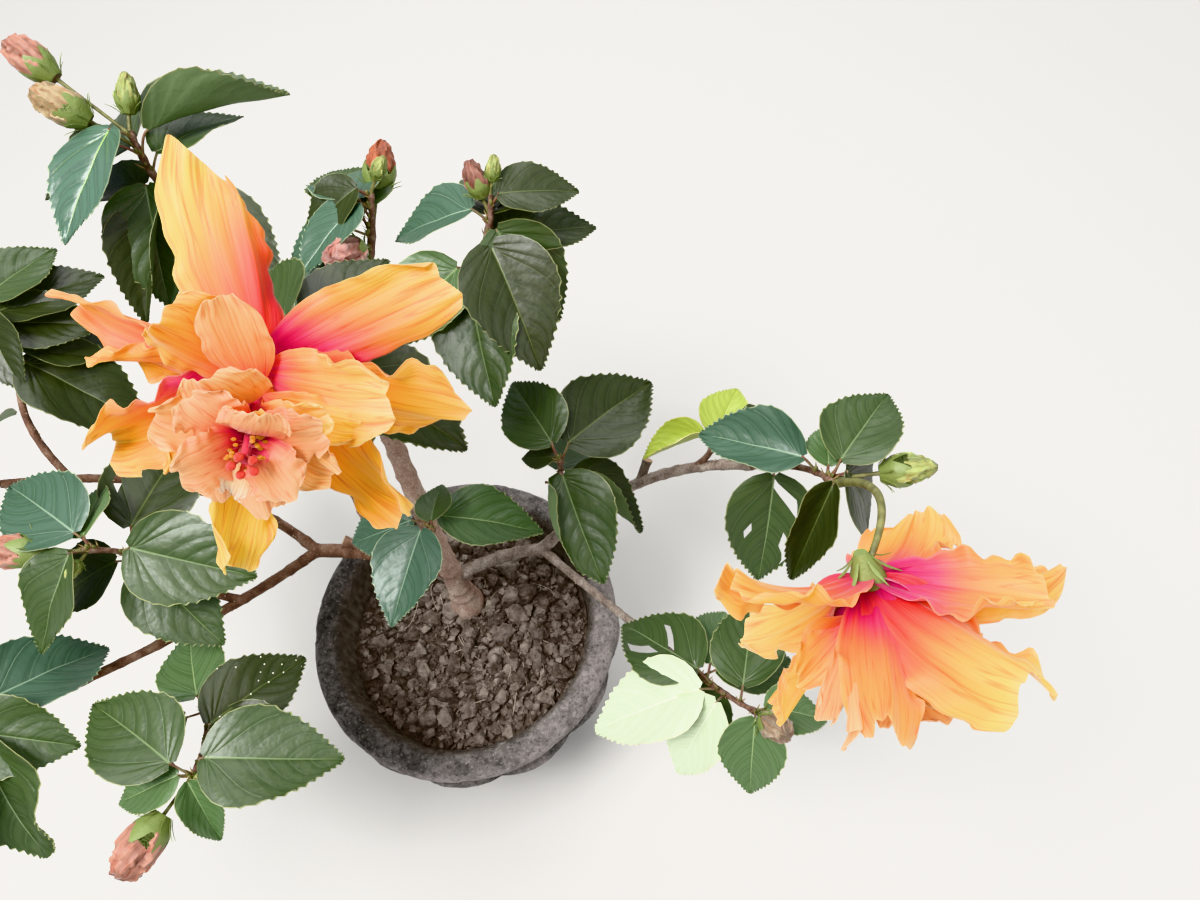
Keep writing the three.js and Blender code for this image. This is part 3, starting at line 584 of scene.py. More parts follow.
# crumpled petals in the hearts of the double blooms, among the ones above
innerPetals = {
    "bloom_left": [
        (205, 46, 22, 62, 20, 26, "rose", 0.9, {"twist": 40}),
        (225, 36, 24, 34, 50, 36, "cream", 0.5, {"folds": [(0.2, 60)]}),
        (155, 38, 26, 40, 60, 42, "peach", 0.5, {"folds": [(-0.3, 60)]}),
        (10, 36, 22, 34, 60, 44, "butter", 0.5, {"throat": 3}),
        (320, 42, 26, 34, 50, 40, "peach", 0.6, {"folds": [(0.3, 80)]}),
        (270, 36, 24, 26, 60, 48, "salmon", 0.5, {"tip": 0.06}),
        (190, 30, 18, 50, 60, 52, "peach", 0.6, {"twist": 40}), (75, 26, 20, 24, 40, 50, "rose", 0.4),
        (290, 24, 16, 30, 70, 60, "salmon", 0.5, {"tip": 0.06}),
        (240, 26, 18, 40, 70, 58, "cream", 0.5, {"tip": 0.06}),
        (345, 44, 20, 52, 30, 30, "yellow", 0.7, {"twist": 60}),
    ],
    "bloom_right": [
        (150, 52, 24, 60, 20, 12, "rose", 0.9, {"twist": 50}), (120, 46, 20, 40, 20, 18, "rose", 0.9),
        (80, 50, 22, 46, 20, 16, "salmon", 0.9, {"twist": -40}),
        (40, 54, 20, 40, 20, 18, "peach", 0.9, {"twist": 50}), (0, 50, 24, 36, 30, 22, "salmon", 0.8),
        (300, 46, 22, 36, 40, 24, "peach", 0.8), (230, 46, 24, 36, 40, 24, "salmon", 0.8),
        (190, 40, 22, 30, 50, 34, "peach", 0.9), (110, 84, 9, 70, 20, 6, "peach", 0.3, {"twist": 60}),
        (26, 74, 12, 34, 14, 8, "cream", 0.4, {"twist": -50}),
        (38, 70, 10, 44, 10, 8, "peach", 0.4, {"twist": 70}),
    ],
}
petalForm = {"thickness": 0.36, "ripple": 0.07, "waves": 3.4, "cup": 0.16, "claw": 0.16,
             "round": (0.04, 0.9), "rootOut": 2.5, "jitter": 0.05}
seeds = {"petals": 7919, "leaves": 104729, "nextMass": 1299,  # these as the solids have them
         "leafLooks": 500, "twigs": 900, "bark": 1300, "buds": 1700, "blooms": 2100, "soil": 77}

curves = {}
taken = {"places": np.zeros((0, 3)), "near": np.zeros(0), "owner": np.zeros(0, int)}
owners = {name: i for i, name in enumerate([*limbs, *masses])}


def chanceFor(what, name):  # a run of random draws for one limb or mass
    return np.random.default_rng(seeds[what] + owners[name])


def startOf(start):
    if len(start) == 3:
        return np.array(start, float)
    name, share = start
    at = onCurve(curves[name], share)
    return at + wayAlong(curves[name], 1) * gap if share == 1 else at


def take(places, kind, owner, radius=0):
    near = leafForm["room"][kind] + radius
    taken["places"] = np.vstack([taken["places"], places])
    taken["near"] = np.append(taken["near"], np.full(len(places), near))
    taken["owner"] = np.append(taken["owner"], np.full(len(places), owners[owner]))


def takeWood(curve, owner, radius):
    steps = math.ceil(lengthOf(curve) / leafForm["room"]["wood"])
    take(onCurve(curve, np.arange(steps + 1) / steps), "wood", owner, radius)


def isClear(samples, owner):
    near = np.where(taken["owner"] == owners[owner], leafForm["room"]["own"], taken["near"])
    apart = samples[:, None, :] - taken["places"][None]
    return bool(np.all((apart ** 2).sum(axis=2) >= near ** 2))


def leafAt(curve, share, length, heading, rise, dip, roll):
    root = onCurve(curve, share)
    base = root + pointing(heading, rise) * length * leafForm["petiole"]
    way = pointing(heading, -dip)
    level = unit(np.cross(way, (0, 0, 1)))
    side = level * math.cos(roll) + np.cross(level, way) * math.sin(roll)
    return {"root": root, "base": base, "way": way, "side": side, "up": np.cross(side, way),
            "length": length}


def bladeSamples(leaf):
    half = np.interp(sampleAlong, *leafForm["solidRows"]) * leafForm["width"] * leaf["length"]
    lift = leafForm["fold"] * np.abs(sampleAcross) * half
    lift = lift - leafForm["curl"] * sampleAlong ** 2 * leaf["length"]
    return (leaf["base"] + np.outer(leaf["length"] * sampleAlong, leaf["way"])
            + np.outer(half * sampleAcross, leaf["side"]) + np.outer(lift, leaf["up"]))


def grownLeaf(name, row, random):
    share, heading, length, *own = row
    rise = lerp(*leafForm["rise"], share)
    chance = lerp(*leafForm["dip"], next(random))
    dip = own[0] if own else chance
    roll = math.radians(leafForm["roll"] * (next(random) - 0.5))
    for turn in leafForm["turns"]:
        tipped = dip + leafForm["dipPerTurn"] * abs(turn)
        leaf = leafAt(curves[name], share, length, heading + turn, rise, tipped, roll)
        if isClear(bladeSamples(leaf), name):
            return leaf
    return None


def petalArc(petal, share):  # places along a petal's midline, and which way its face looks there
    start, bend = math.radians(petal["opens"]), math.radians(petal["bends"])
    angle = start + bend * share
    outward = petal["length"] * (math.cos(start) - np.cos(angle)) / bend
    forward = petal["length"] * (np.sin(angle) - math.sin(start)) / bend
    place = petal["base"] + outward[..., None] * petal["out"] + forward[..., None] * petal["axis"]
    return place, np.sin(angle)[..., None] * petal["axis"] - np.cos(angle)[..., None] * petal["out"]


def petalHalf(petal, share):  # half its width
    return 0.5 * petal["width"] * lerp(petalForm["claw"], 1, np.sin(np.pi * lerp(*petalForm["round"], share)))


def petalWave(petal, across, share):
    return (petalForm["ripple"] * petal["length"] * share ** 2
            * np.sin(petal["phase"] + petalForm["waves"] * across))


def petalSamples(petal):
    place, facing = petalArc(petal, sampleAlong)
    half = petalHalf(petal, sampleAlong)
    face = petalWave(petal, sampleAcross, sampleAlong) - petalForm["cup"] * half * sampleAcross ** 2
    return place + face[:, None] * facing + np.outer(half * sampleAcross, petal["side"])


def petalsOf(name, random):
    axis = unit(bloomAxes[name])
    right = unit(np.array([1, 0, 0]) - axis * axis[0])
    over = np.cross(axis, right)
    foot = onCurve(curves[name], 1)
    grown = []
    rows = blooms[name] + tuft + innerPetals[name]
    for turn, length, width, opens, bends, at, palette, ruffle, *own in rows:
        angle = math.radians(turn)
        out = right * math.cos(angle) + over * math.sin(angle)
        size = 1 + petalForm["jitter"] * (next(random) - 0.5)
        look = own[0] if own else {}
        grown.append({"axis": axis, "out": out, "side": np.cross(out, axis),
                      "base": foot + axis * at + out * petalForm["rootOut"], "length": length * size,
                      "width": width, "opens": opens, "bends": bends, "phase": 2 * math.pi * next(random),
                      "palette": palette, "ruffle": ruffle, "look": look, "bloom": name})
    return grown


for name, row in {**limbs, **masses}.items():
    curves[name] = curveThrough(startOf(row["on"]), row["through"], row["to"])
    takeWood(curves[name], name, row["radii"][0] if name in limbs else stemForm["tip"])

petals = {}
for i, (name, row) in enumerate(masses.items()):
    if name in bloomAxes:
        petals[name] = petalsOf(name, seeded(seeds["petals"] * (i + 1)))
        for petal in petals[name][:-len(innerPetals[name])]:
            take(petalSamples(petal), "petal", name)
    for share, heading, rise, stalk, length, _ in row["buds"]:
        root = onCurve(curves[name], share)
        tip = root + pointing(heading, rise) * (stalk + length)
        takeWood(straight(root, tip), name, budRoom * length)

leaves = {}
for i, (name, row) in enumerate(masses.items()):
    random = seeded(seeds["leaves"] + seeds["nextMass"] * i)
    leaves[name] = []
    for number, leafRow in enumerate(row["leaves"]):
        leaf = grownLeaf(name, leafRow, random)
        if leaf is None:
            continue
        take(bladeSamples(leaf), "leaf", name)
        leaf["number"] = number
        leaves[name].append(leaf)
print("grown:", sum(map(len, leaves.values())), "leaves")

# leaves


def leafGrid():  # the rows and columns of the leaf's sheet, which follow its veins
    rows, kinds = [(0, 0)], []
    wideMid, wideEdge = leafForm["veinWide"]
    for number, (mid, edge) in enumerate(leafForm["veins"] + [(1, 1)]):
        lastMid, lastEdge = rows[-1]
        for part in (0.25, 0.5, 0.75):
            rows.append((lerp(lastMid, mid, part), lerp(lastEdge, edge, part)))
        rows.append((mid, edge))
        kinds += ["panel", "blade", "blade", "panel"]
        if mid < 1:
            rows.append((mid + wideMid, edge + wideEdge))
            kinds.append("vein" if number == leafForm["mainVein"] else "side vein")
    across = leafForm["across"]
    columns = [-a for a in reversed(across)] + [0] + list(across)
    return np.array(rows), kinds, np.array(columns)


gridRows, gridKinds, gridColumns = leafGrid()
rowCount, columnCount = len(gridRows) - 1, len(gridColumns) - 1
rowSwell = np.zeros(rowCount + 1)  # how far each row stands up between the veins
for j, kind in enumerate(gridKinds[:-1]):
    rowSwell[j + 1] = 0 if any("vein" in k for k in gridKinds[j:j + 2]) else 1 if kind == "blade" else 0.85
toothRows = np.array([(j % 5 in (0, 2)) for j in range(rowCount + 1)])


def leafSlots(shape, kind):
    first = leafKinds.index(kind) * len(leafParts)
    x, y, z = shape["middles"].T
    column, row = np.floor(x).astype(int), np.floor(y).astype(int)
    parts = np.array([leafParts.index(k) for k in gridKinds])[np.clip(row, 0, rowCount - 1)]
    veinless = np.abs(x - columnCount / 2) > columnCount / 2 - 2
    parts = np.where(np.isin(parts, (vein, sideVein)) & veinless, blade, parts)
    parts = np.where(np.abs(x - columnCount / 2) < 1, vein, parts)
    parts = np.where((column <= 0) | (column >= columnCount - 1), margin, parts)
    parts = np.where((z < -0.5) & np.isin(parts, (blade, panel, sideVein)), underside, parts)
    return first + parts


def leafPoints(shape, leaf):
    across, size = gridColumns[None, :], leaf["length"]
    rim, sign, midrib = np.abs(across), np.sign(across), leafForm["across"][0]
    share = lerp(gridRows[:, :1], gridRows[:, 1:], 0.75 * rim + 0.25 * rim ** 2)
    half = np.interp(share, *leafForm["outline"]) * leafForm["width"] * size
    rib = np.minimum(lerp(*leafForm["ribWide"], share) * size, 0.5 * half)
    teeth = ease(0.2, 0.4, share) * (1 - ease(0.97, 1, share)) * toothRows[:, None] * (rim > 0.95)
    tooth = teeth * leafForm["tooth"] * size
    flat = np.where(rim == midrib, sign * rib, across * half) + sign * tooth
    # how the cross-section turns: the fold along the midrib, a wavy margin, and a side turned over
    turn = sign * math.atan(leafForm["fold"] * leaf["fold"]) * ease(0, 0.2, rim)
    beat = np.sin(2 * np.pi * leaf["waves"] * share + leaf["phase"] + 1.9 * sign)
    turn = turn + sign * leafForm["wave"] * beat * ease(0.3, 1, rim)
    for place, degrees, *span in leaf["turns"]:
        low, high = span or (-0.2, 1.2)
        past = ease(abs(place) - 0.12, abs(place) + 0.12, np.sign(place) * across)
        past = past * ease(low - 0.12, low + 0.12, share) * (1 - ease(high - 0.05, high + 0.15, share))
        turn = turn + np.sign(place) * math.radians(degrees) * past
    runs = unrolled(turn, np.diff(flat, axis=1))
    shoulder = leafForm["shoulder"] * size * rim ** 1.5 * (1 - ease(0, 0.2, share))
    along = size * share + 1.5 * tooth - shoulder
    swell = leafForm["bulge"] * size * leaf["swell"] * rowSwell[:, None] * np.sin(np.pi * rim ** 0.8)
    groove = -0.004 * size * (across == 0)
    places = np.stack([np.broadcast_to(across * 1.1, share.shape), share * 1.9,
                       np.full(share.shape, leaf["phase"] * 5)], axis=-1)
    buckle = noiseAt(places.reshape(-1, 3), 0.6).reshape(share.shape)
    buckle = leafForm["buckle"] * size * buckle * np.minimum(1, 3 * share)
    lift = swell + groove + buckle - leafForm["curl"] * share ** 2 * size + runs[1]
    bend = leaf["bend"] * size * share ** 2
    surface = (leaf["base"] + along[..., None] * leaf["way"] + (runs[0] + bend)[..., None] * leaf["side"]
               + lift[..., None] * leaf["up"])
    column, row, layer = shape["points"].astype(int).T
    thick = leafForm["thickness"] / 2 * (1 + 1.4 * (rim[0, column] <= midrib) * (layer < 0))
    return twoFaced(surface, column, row, thick * layer)


turnedLeaves = {  # folded or curled leaves: across, degrees[, from where to where along the leaf]
    ("mass_right_middle", 1): [(0.62, 125, 0.05, 0.75)],
    ("mass_right_middle", 3): [(0.3, 100, 0.0, 1.0)],
    ("mass_top_left", 0): [(0.1, 62), (-0.1, 18)],
    ("mass_top_left", 3): [(0.1, 40), (-0.1, 40)],
    ("mass_left_front", 4): [(0.1, 35), (-0.1, 35)],
    ("mass_right_top", 1): [(0.15, 30), (-0.15, 30)],
    ("mass_right_top", 6): [(0.1, 50), (-0.1, 50)],
    ("mass_right_young", 0): [(0.1, 45), (-0.1, 45)],
    ("mass_left_end", 2): [(-0.6, 110, 0.5, 1.0)],
}
speckled = {"leaf": ("mass_left_front", 0), "count": 22, "size": 0.6}  # dry white droplets on it
specks = []
leftOut = {("mass_right_middle", 4)}  # solid leaves where the plant shows a gap
holedLeaves = {  # insect holes: column, row, half width and half height on the sheet
    ("mass_right_top", 0): ((5.5, 13, 1.6, 3.2), (8.5, 9.5, 0.8, 1.2), (3.5, 24.5, 1.2, 2.2),
                            (11.5, 20.5, 0.8, 1.2)),
    ("mass_right_low", 0): ((4.5, 24.5, 1.2, 2.2), (10.5, 20.5, 1.2, 1.6), (9.5, 11.5, 0.8, 1.2)),
    ("mass_left_middle", 0): ((3.5, 12.5, 0.8, 1.6),),
    ("mass_right_low", 1): ((10.5, 24.5, 0.8, 1.2),),
}
shares = {"mid": 0.46, "deep": 0.3, "teal": 0.16, "fresh": 0.08}
for name, grown in leaves.items():
    if not grown:
        continue
    chance = chanceFor("leafLooks", name)
    greens = dict(enumerate(masses[name]["greens"].split()))
    heap = []
    for leaf in grown:
        own = (name, leaf["number"])
        if own in leftOut:
            continue
        plain = list(shares)[chance.choice(len(shares), p=list(shares.values()))]
        kind = greens.get(leaf["number"], "any")
        leaf.update({key: chance.uniform(*span) for key, span in leafForm["vary"].items()})
        leaf["turns"] = turnedLeaves.get(own, ())
        shape = sheet(columnCount, rowCount, holedLeaves.get(own, ()))
        points = leafPoints(shape, leaf)
        put(heap, shape, points, leafSlots(shape, plain if kind == "any" else kind))
        if own == speckled["leaf"]:
            topPoints = points[shape["points"][:, 2] > 0]
            for at in topPoints[chance.choice(len(topPoints), speckled["count"])]:
                flat = speckled["size"] * np.array([1, 1, 0.3]) * chance.uniform(0.5, 1.2)
                specks.append(ball(1)["points"] * flat + at + leaf["up"] * 0.1)
    joinedPiece(name.replace("mass", "leaves").replace("bloom", "leaves_bloom"), heap, leafFinishes,
                () if name in bloomAxes else (name,), sheets=True)
print("leaves made")

# twigs: the stems, leaf stalks, bud stalks, stipules and shoot tips

twigs = {
    "stemSides": 10, "stemStep": 2.5, "nodeSwell": 0.5, "nodeWide": 2.2, "stalk": (8, 8),
    "petioleRadii": (1.0, 0.75), "petioleFlares": (0.6, 0.4), "budStalk": 1.15, "budFlare": 0.5,
    "stipule": (6, 1.0), "scale": (1.5, 3.2),
}
twigFinishes = [stemFinish, twigFinish, petioleFinish, dryFinish, speckFinish]
young, woody, petiole, dry, droplet = range(len(twigFinishes))
heap = []
slim = sheet(2, 6)


def petioleRadius(share):  # wider at the root and under the blade
    low, high = twigs["petioleFlares"]
    return lerp(*twigs["petioleRadii"], share) + high * ease(0.8, 1, share) + low * (1 - ease(0, 0.12, share))


def budStalkRadius(share):
    return twigs["budStalk"] + twigs["budFlare"] * (ease(0.8, 1, share) + 1 - ease(0, 0.1, share))


for name, row in masses.items():
    chance = chanceFor("twigs", name)
    curve = curves[name]
    length = lengthOf(curve)
    nodes = sorted({entry[0] for entry in row["leaves"] + row["buds"]})

    def stemRadius(share):
        plain = lerp(stemForm["base"], stemForm["tip"], share)
        for at in nodes:
            plain = plain + twigs["nodeSwell"] * np.exp(-((share - at) * length / twigs["nodeWide"]) ** 2)
        return plain

    rings = math.ceil(length / twigs["stemStep"])
    addRod(heap, twigs["stemSides"], rings, curve, stemRadius, young if name == "bloom_right" else woody)
    for leaf in leaves[name]:
        root, base = leaf["root"], leaf["base"] + leaf["way"] * 0.6
        middle = (root + base) / 2 + leaf["up"] * 0.05 * leaf["length"] * chance.uniform(-0.6, 1)
        bow = curveThrough(root, middle, base)
        addRod(heap, *twigs["stalk"], bow, petioleRadius, petiole)
        way = wayAlong(bow, 0)
        for turn in (-1, 1):  # a stipule on each side of the stalk's root
            lean = unit(way + turn * 0.9 * leaf["side"] + (0, 0, 0.3))
            at = root + lean * stemForm["tip"]
            stipule = twigs["stipule"][0] * chance.uniform(0.7, 1.3)
            points = sliverPoints(slim, at, lean, leaf["up"], stipule, twigs["stipule"][1], 0.2)
            put(heap, slim, points, dry)
        size, long = twigs["scale"]
        egg = ball(2)["points"] * (size, size, long) * chance.uniform(0.6, 1)
        put(heap, ball(2), egg + root + (0, 0, 2.5) + way * 2, young)
    for share, heading, rise, stalk, long, _ in row["buds"]:
        root = onCurve(curve, share)
        neck = root + pointing(heading, rise) * (stalk + 0.1 * long)
        addRod(heap, *twigs["stalk"], straight(root, neck), budStalkRadius, young)
for points in specks:
    put(heap, ball(1), points, droplet)
joinedPiece("twigs", heap, twigFinishes)
print("twigs made")

# trunk and boughs

bark = {"sides": 18, "step": 2.2, "ridge": 0.09, "knot": (0.13, 2.6), "knotApart": 24,
        "flare": (0.8, 13), "collar": (0.22, 9)}
tan, brown, grey, cork, cutWood = range(len(barkFinishes))
barkOf = {"trunk": tan, "bough_top": tan, "bough_left": brown, "bough_right": grey}


def aroundBark(turn, wide, along):  # places for noise that meets itself round a limb
    return np.column_stack([np.cos(turn) * wide, np.sin(turn) * wide, along])


heap = []
spots = []
for name, row in limbs.items():
    chance = chanceFor("bark", name)
    curve, (wide, thin) = curves[name], row["radii"]
    length = lengthOf(curve)
    knots = np.arange(bark["knotApart"] * 0.7, length, bark["knotApart"])
    knots = knots + chance.uniform(-6, 6, 40)[:len(knots)]

    def limbRadius(share):
        plain = lerp(wide, thin, share)
        if name == "trunk":
            height = onCurve(curve, share)[..., 2] - soilLevel
            plain = plain * (1 + bark["flare"][0] * np.exp(-height / bark["flare"][1]))
        else:
            plain = plain * (1 + bark["collar"][0] * np.exp(-share * length / bark["collar"][1]))
        for knot in knots:
            plain = plain * (1 + bark["knot"][0] * np.exp(-((share * length - knot) / bark["knot"][1]) ** 2))
        return plain

    def barkRelief(turn, share):
        coarse = noiseAt(aroundBark(turn, 3, share * length / 9 + owners[name] * 7))
        fine = noiseAt(aroundBark(turn, 9, share * length / 4))
        return bark["ridge"] * lerp(wide, thin, share) * (coarse + 0.45 * fine)

    shape = rod(28 if name == "trunk" else bark["sides"], math.ceil(length / bark["step"]))
    points = rodPoints(shape, curve, limbRadius, barkRelief)
    if name == "trunk":
        points[shape["points"][:, 2] < -0.49, 2] = soilLevel - 6
    finish = next(slot for start, slot in barkOf.items() if name.startswith(start))
    put(heap, shape, points, finish)
    spots += list(points[chance.choice(len(points), max(6, int(length / 6)))])
    if name in stubs:
        share, heading, rise, long, radius = stubs[name]
        root = onCurve(curve, share)
        shape = rod(18, 14)
        end = root + pointing(heading, rise) * long
        points = rodPoints(shape, straight(root, end), lambda s: radius * (1 + 0.12 * ease(0.8, 0.95, s)),
                           lambda turn, s: 0.05 * radius * noiseAt(aroundBark(turn, 3, s * 5)))
        put(heap, shape, points, np.where(shape["middles"][:, 2] > 0.499, cutWood, finish))
for at in spots:  # corky spots that stand a little off the bark
    size = 0.5 + 0.5 * abs(noise.noise(Vector(at) * 0.37))
    put(heap, ball(1), ball(1)["points"] * (size, size, size * 1.6) + at, cork)
joinedPiece("wood", heap, barkFinishes, tuple(limbs))
print("bark made")

# pot

pot = {
    "outside": [(88, 0), (92, 4), (107, 55), (119, 105), (126, 142), (129, 151), (131, 160), (129, 169),
                (132, 175), (136, 184), (135, 193), (130, 199), (121, 200), (114, 197)],
    "inside": [(111, 190), (108, 165), (97, 90), (80, 18)],
    "lobes": 12, "lobeDepth": 6, "lobeRange": (142, 175), "steps": 240, "spacing": 2.8, "floor": 18,
    # the middle of the wall by height, and the line that the damp inside keeps to
    "wall": ([0, 60, 140, 200], [60, 98, 116, 113]),
    "dampLine": ([0, 60, 140, 190, 200], [60, 98, 116, 112, 116]),
    "wear": [(34, 1.2, 0), (10, 1, 5), (4.4, 0.7, 9)],  # size, depth and offset of each noise
    "chip": (8, 2.2, 21),
}


def dense(profile, spacing):
    profile = np.array(profile, float)
    along = np.concatenate([[0], np.cumsum(np.linalg.norm(np.diff(profile, axis=0), axis=1))])
    fine = np.linspace(0, along[-1], int(along[-1] / spacing))
    rows = np.column_stack([np.interp(fine, along, profile[:, i]) for i in (0, 1)])
    for _ in range(2):  # soften its corners, but keep its two ends
        rows[1:-1] = (rows[:-2] + 2 * rows[1:-1] + rows[2:]) / 4
    return rows


profile = [(0, 0), *map(tuple, dense(pot["outside"] + pot["inside"], pot["spacing"])), (0, pot["floor"])]
shape = turnedSolid(profile, pot["steps"])
points = shape["points"].copy()
turn = np.arctan2(points[:, 1], points[:, 0])
radius = np.hypot(points[:, 0], points[:, 1])
height = points[:, 2]
low, high = pot["lobeRange"]
share = np.clip((height - low) / (high - low), 0, 1)
lobe = np.sin(np.pi * share) * np.abs(np.cos(pot["lobes"] * turn / 2)) ** 0.8
outer = radius > np.interp(height, *pot["wall"])
worn = sum(depth * noiseAt(points, size, offset) for size, depth, offset in pot["wear"])
size, depth, offset = pot["chip"]  # broken off the top of the rim
chips = -depth * ease(0.34, 0.5, noiseAt(points, size, offset)) * ease(184, 194, height)
push = np.where(outer, pot["lobeDepth"] * lobe, 0) + worn * ease(2, 8, height) * (radius > 60) * 0.8
push = np.where(height < 1, -0.4, push)
push = np.minimum(push, np.where(height > 178, 0.3 * worn, 9)) + chips
grown = (radius + push) / np.maximum(radius, 1)
points[:, 0] *= grown
points[:, 1] *= grown
points[:, 2] = np.clip(points[:, 2] + chips * 0.6, 0, None)
onRim = ease(174, 184, height) * ease(108, 116, radius)
inner = 1 - ease(-3, 3, radius - np.interp(height, *pot["dampLine"]))
# The tint's red is how pale the cement is, partly dust and partly painted light: lighter on its right side
# and darker on its left as if lit from the right, painted highlights on its lobes and its rim, and painted
# shade in the groove under the rim between the lobes. Its green is the damp inside.
pale = 0.64 + 0.2 * np.cos(turn - 0.2) - 0.12 * np.maximum(np.sin(turn), 0)
pale = pale * np.maximum(onRim, 0.7) + 0.35 * lobe * outer
pale = pale - 0.4 * outer * ease(150, 158, height) * ease(176, 168, height) * (1 - lobe)
pale = pale + 0.34 * outer * ease(130, 135, radius) * ease(174, 180, height)
tint = np.clip(np.column_stack([pale * (1 - inner), inner, np.zeros(len(inner))]), 0, 1)

# Cast cement, weathered outdoors: dull and gritty, black with algae, pale where rubbed and dusty, and with
# painted light from the tint's red: lighter on its right side, painted highlights on its rim and lobes,
# painted shade in the groove under the rim.
cement = newFinish("weathered cement", "#5f554e", 0.9)
masks = addNode(cement, "Attribute", attribute_name="tint")
# the red mask: dust, and painted light with painted highlights and painted shade on the pot
dustAndPaintedLight = addNode(cement, "SeparateColor", {"Color": masks}, "Red")
dampness = addNode(cement, "SeparateColor", {"Color": masks}, "Green")
cloud, patch, speck = grain(cement, 22, 5, (1, 1, 0.45)), grain(cement, 5, 6), grain(cement, 2.2, 5)
mottle = addNode(cement, "Math", {0: cloud, 1: patch}, operation="ADD")
mottle = addNode(cement, "Math", {0: mottle, 1: 0.9}, operation="SUBTRACT")
tone = addNode(cement, "Math", {0: dustAndPaintedLight, 1: 0.8, 2: mottle}, operation="MULTIPLY_ADD")
colour = addNode(cement, "ValToRGB", {"Fac": tone}, ramp=[
    [0.1, "#2c2826"], [0.4, "#534e4b"], [0.7, "#746d6a"], [1, "#968d8a"]])
# dark grit, then pale flecks: from which noise to which they grow, how strong they get, and their colour
for low, high, share, flecks in ((0.42, 0.3, 0.7, "#1f1b19"), (0.58, 0.72, 0.6, "#aaa19d")):
    shown = addNode(cement, "MapRange", {"Value": speck, "From Min": low, "From Max": high, "To Max": share})
    colour = addNode(cement, "Mix", {0: shown, 6: colour, 7: flecks}, **colourMix)
damp = addNode(cement, "ValToRGB", {"Fac": grain(cement, 5, 5, (1, 1, 0.4))}, ramp=[
    [0.34, "#4d453e"], [0.5, "#655b52"], [0.68, "#7c7268"]])
feed(cement, "Base Color", addNode(cement, "Mix", {0: dampness, 6: colour, 7: damp}, **colourMix))
roughen(cement, addNode(cement, "Math", {0: speck, 1: patch}, operation="ADD"), 1.6)
heap = []
put(heap, shape, points, 0, None, tint)
joinedPiece("cement_pot", heap, [cement], ("pot",), 60)
print("pot made")

# soil

soil = {
    "rim": 107, "floor": 19, "level": 158, "rings": 34, "around": 120,
    # count, least and greatest radius, corners and cuts of each size of clod
    "clods": [(60, 8, 13.5, 15, 3), (340, 4.4, 8, 11, 1), (1500, 2.2, 4.4, 11, 0), (1900, 1.1, 2.2, 9, 0)],
    "shapes": 16, "roomy": 4.4, "tries": 12, "swells": [(30, 4.5, 0), (9, 2.2, 3)],
    "mix": (0.26, 0.48, 0.26), "straws": 17, "strawReach": 88, "strawAbove": 7,
}
damp, dry, pale, straw = range(4)  # its finishes
chance = np.random.default_rng(seeds["soil"])
profile = [(soil["rim"] * i / soil["rings"], soil["level"]) for i in range(soil["rings"] + 1)]
shape = turnedSolid(profile + [(79, soil["floor"]), (0, soil["floor"])], soil["around"])
points = shape["points"].copy()
top = points[:, 2] > soil["level"] - 1


def soilHeight(places):
    flat = np.column_stack([places[:, :2], np.zeros(len(places))])
    swells = (depth * noiseAt(flat, size, offset) for size, depth, offset in soil["swells"])
    return soil["level"] + sum(swells)


points[top, 2] = soilHeight(points[top])
heap = []
put(heap, shape, points, damp)


def crumb(corners, cuts, dent):  # an angular lump: a hull of a few corners, its faces then dented
    bm = bmesh.new()
    for _ in range(corners):
        bm.verts.new(Vector(unit(chance.normal(size=3)) * chance.uniform(0.72, 1)))
    hull = bmesh.ops.convex_hull(bm, input=bm.verts[:])
    bmesh.ops.delete(bm, geom=list({v for v in hull["geom_interior"] + hull["geom_unused"]
                                    if isinstance(v, bmesh.types.BMVert)}), context="VERTS")
    if cuts:
        bmesh.ops.subdivide_edges(bm, edges=bm.edges[:], cuts=cuts, use_grid_fill=True, smooth=0.15)
    shape = shapeOf(bm)
    rough = noiseAt(shape["points"], 0.6, chance.uniform(0, 50)) + 0.7 * noiseAt(shape["points"], 0.22, 7)
    shape["points"] = shape["points"] * (1 + dent * rough)[:, None]
    return shape


def scattered(reach):  # a random place within reach of the pot's axis
    away = reach * math.sqrt(chance.uniform(0, 1))
    turn = chance.uniform(0, 2 * math.pi)
    return np.array([away * math.cos(turn), away * math.sin(turn)])


settled = []
for count, least, most, corners, cuts in soil["clods"]:
    crumbs = [crumb(corners, cuts, 0.26 if cuts else 0.12) for _ in range(soil["shapes"])]
    for _ in range(count):
        size = chance.uniform(least, most)
        for _ in range(soil["tries"]):  # the larger ones look for room
            flat = scattered(soil["rim"] - 0.8 * size)
            if size < soil["roomy"] or all(
                    np.linalg.norm(flat - other) > 0.8 * (size + wide) for other, wide in settled):
                break
        if size >= soil["roomy"]:
            settled.append((flat, size))
        at = np.array([[*flat, 0.0]])
        at[0, 2] = soilHeight(at)[0] + size * chance.uniform(0.2, 0.7)
        angle = chance.uniform(0, 6.28)
        spin = np.array(Matrix.Rotation(angle, 3, Vector(chance.normal(size=3)).normalized()))
        shape = crumbs[chance.integers(len(crumbs))]
        lump = shape["points"] * size * chance.uniform(0.75, 1.1, 3)
        put(heap, shape, lump @ spin.T + at, chance.choice((damp, dry, pale), p=soil["mix"]))
for _ in range(soil["straws"]):
    middle = np.array([*scattered(soil["strawReach"]), soil["level"] + soil["strawAbove"]])
    lean = pointing(chance.uniform(0, 360), chance.uniform(-8, 12)) * chance.uniform(8, 20)
    sway = chance.normal(size=3) * (7, 7, 2)
    bow = curveThrough(middle - lean, middle + sway, middle + lean)
    addRod(heap, 5, 8, bow, lambda s: 0.36 - 0.2 * s, straw)


def soilFinish(name, rows):  # dry clay soil: dull, crumbly, paler where it has dried
    made, _ = shadedFinish(name, rows[1][1], 0.97, 7, 6, rows)
    roughen(made, grain(made, 2.4, 6), 2.6)
    return made


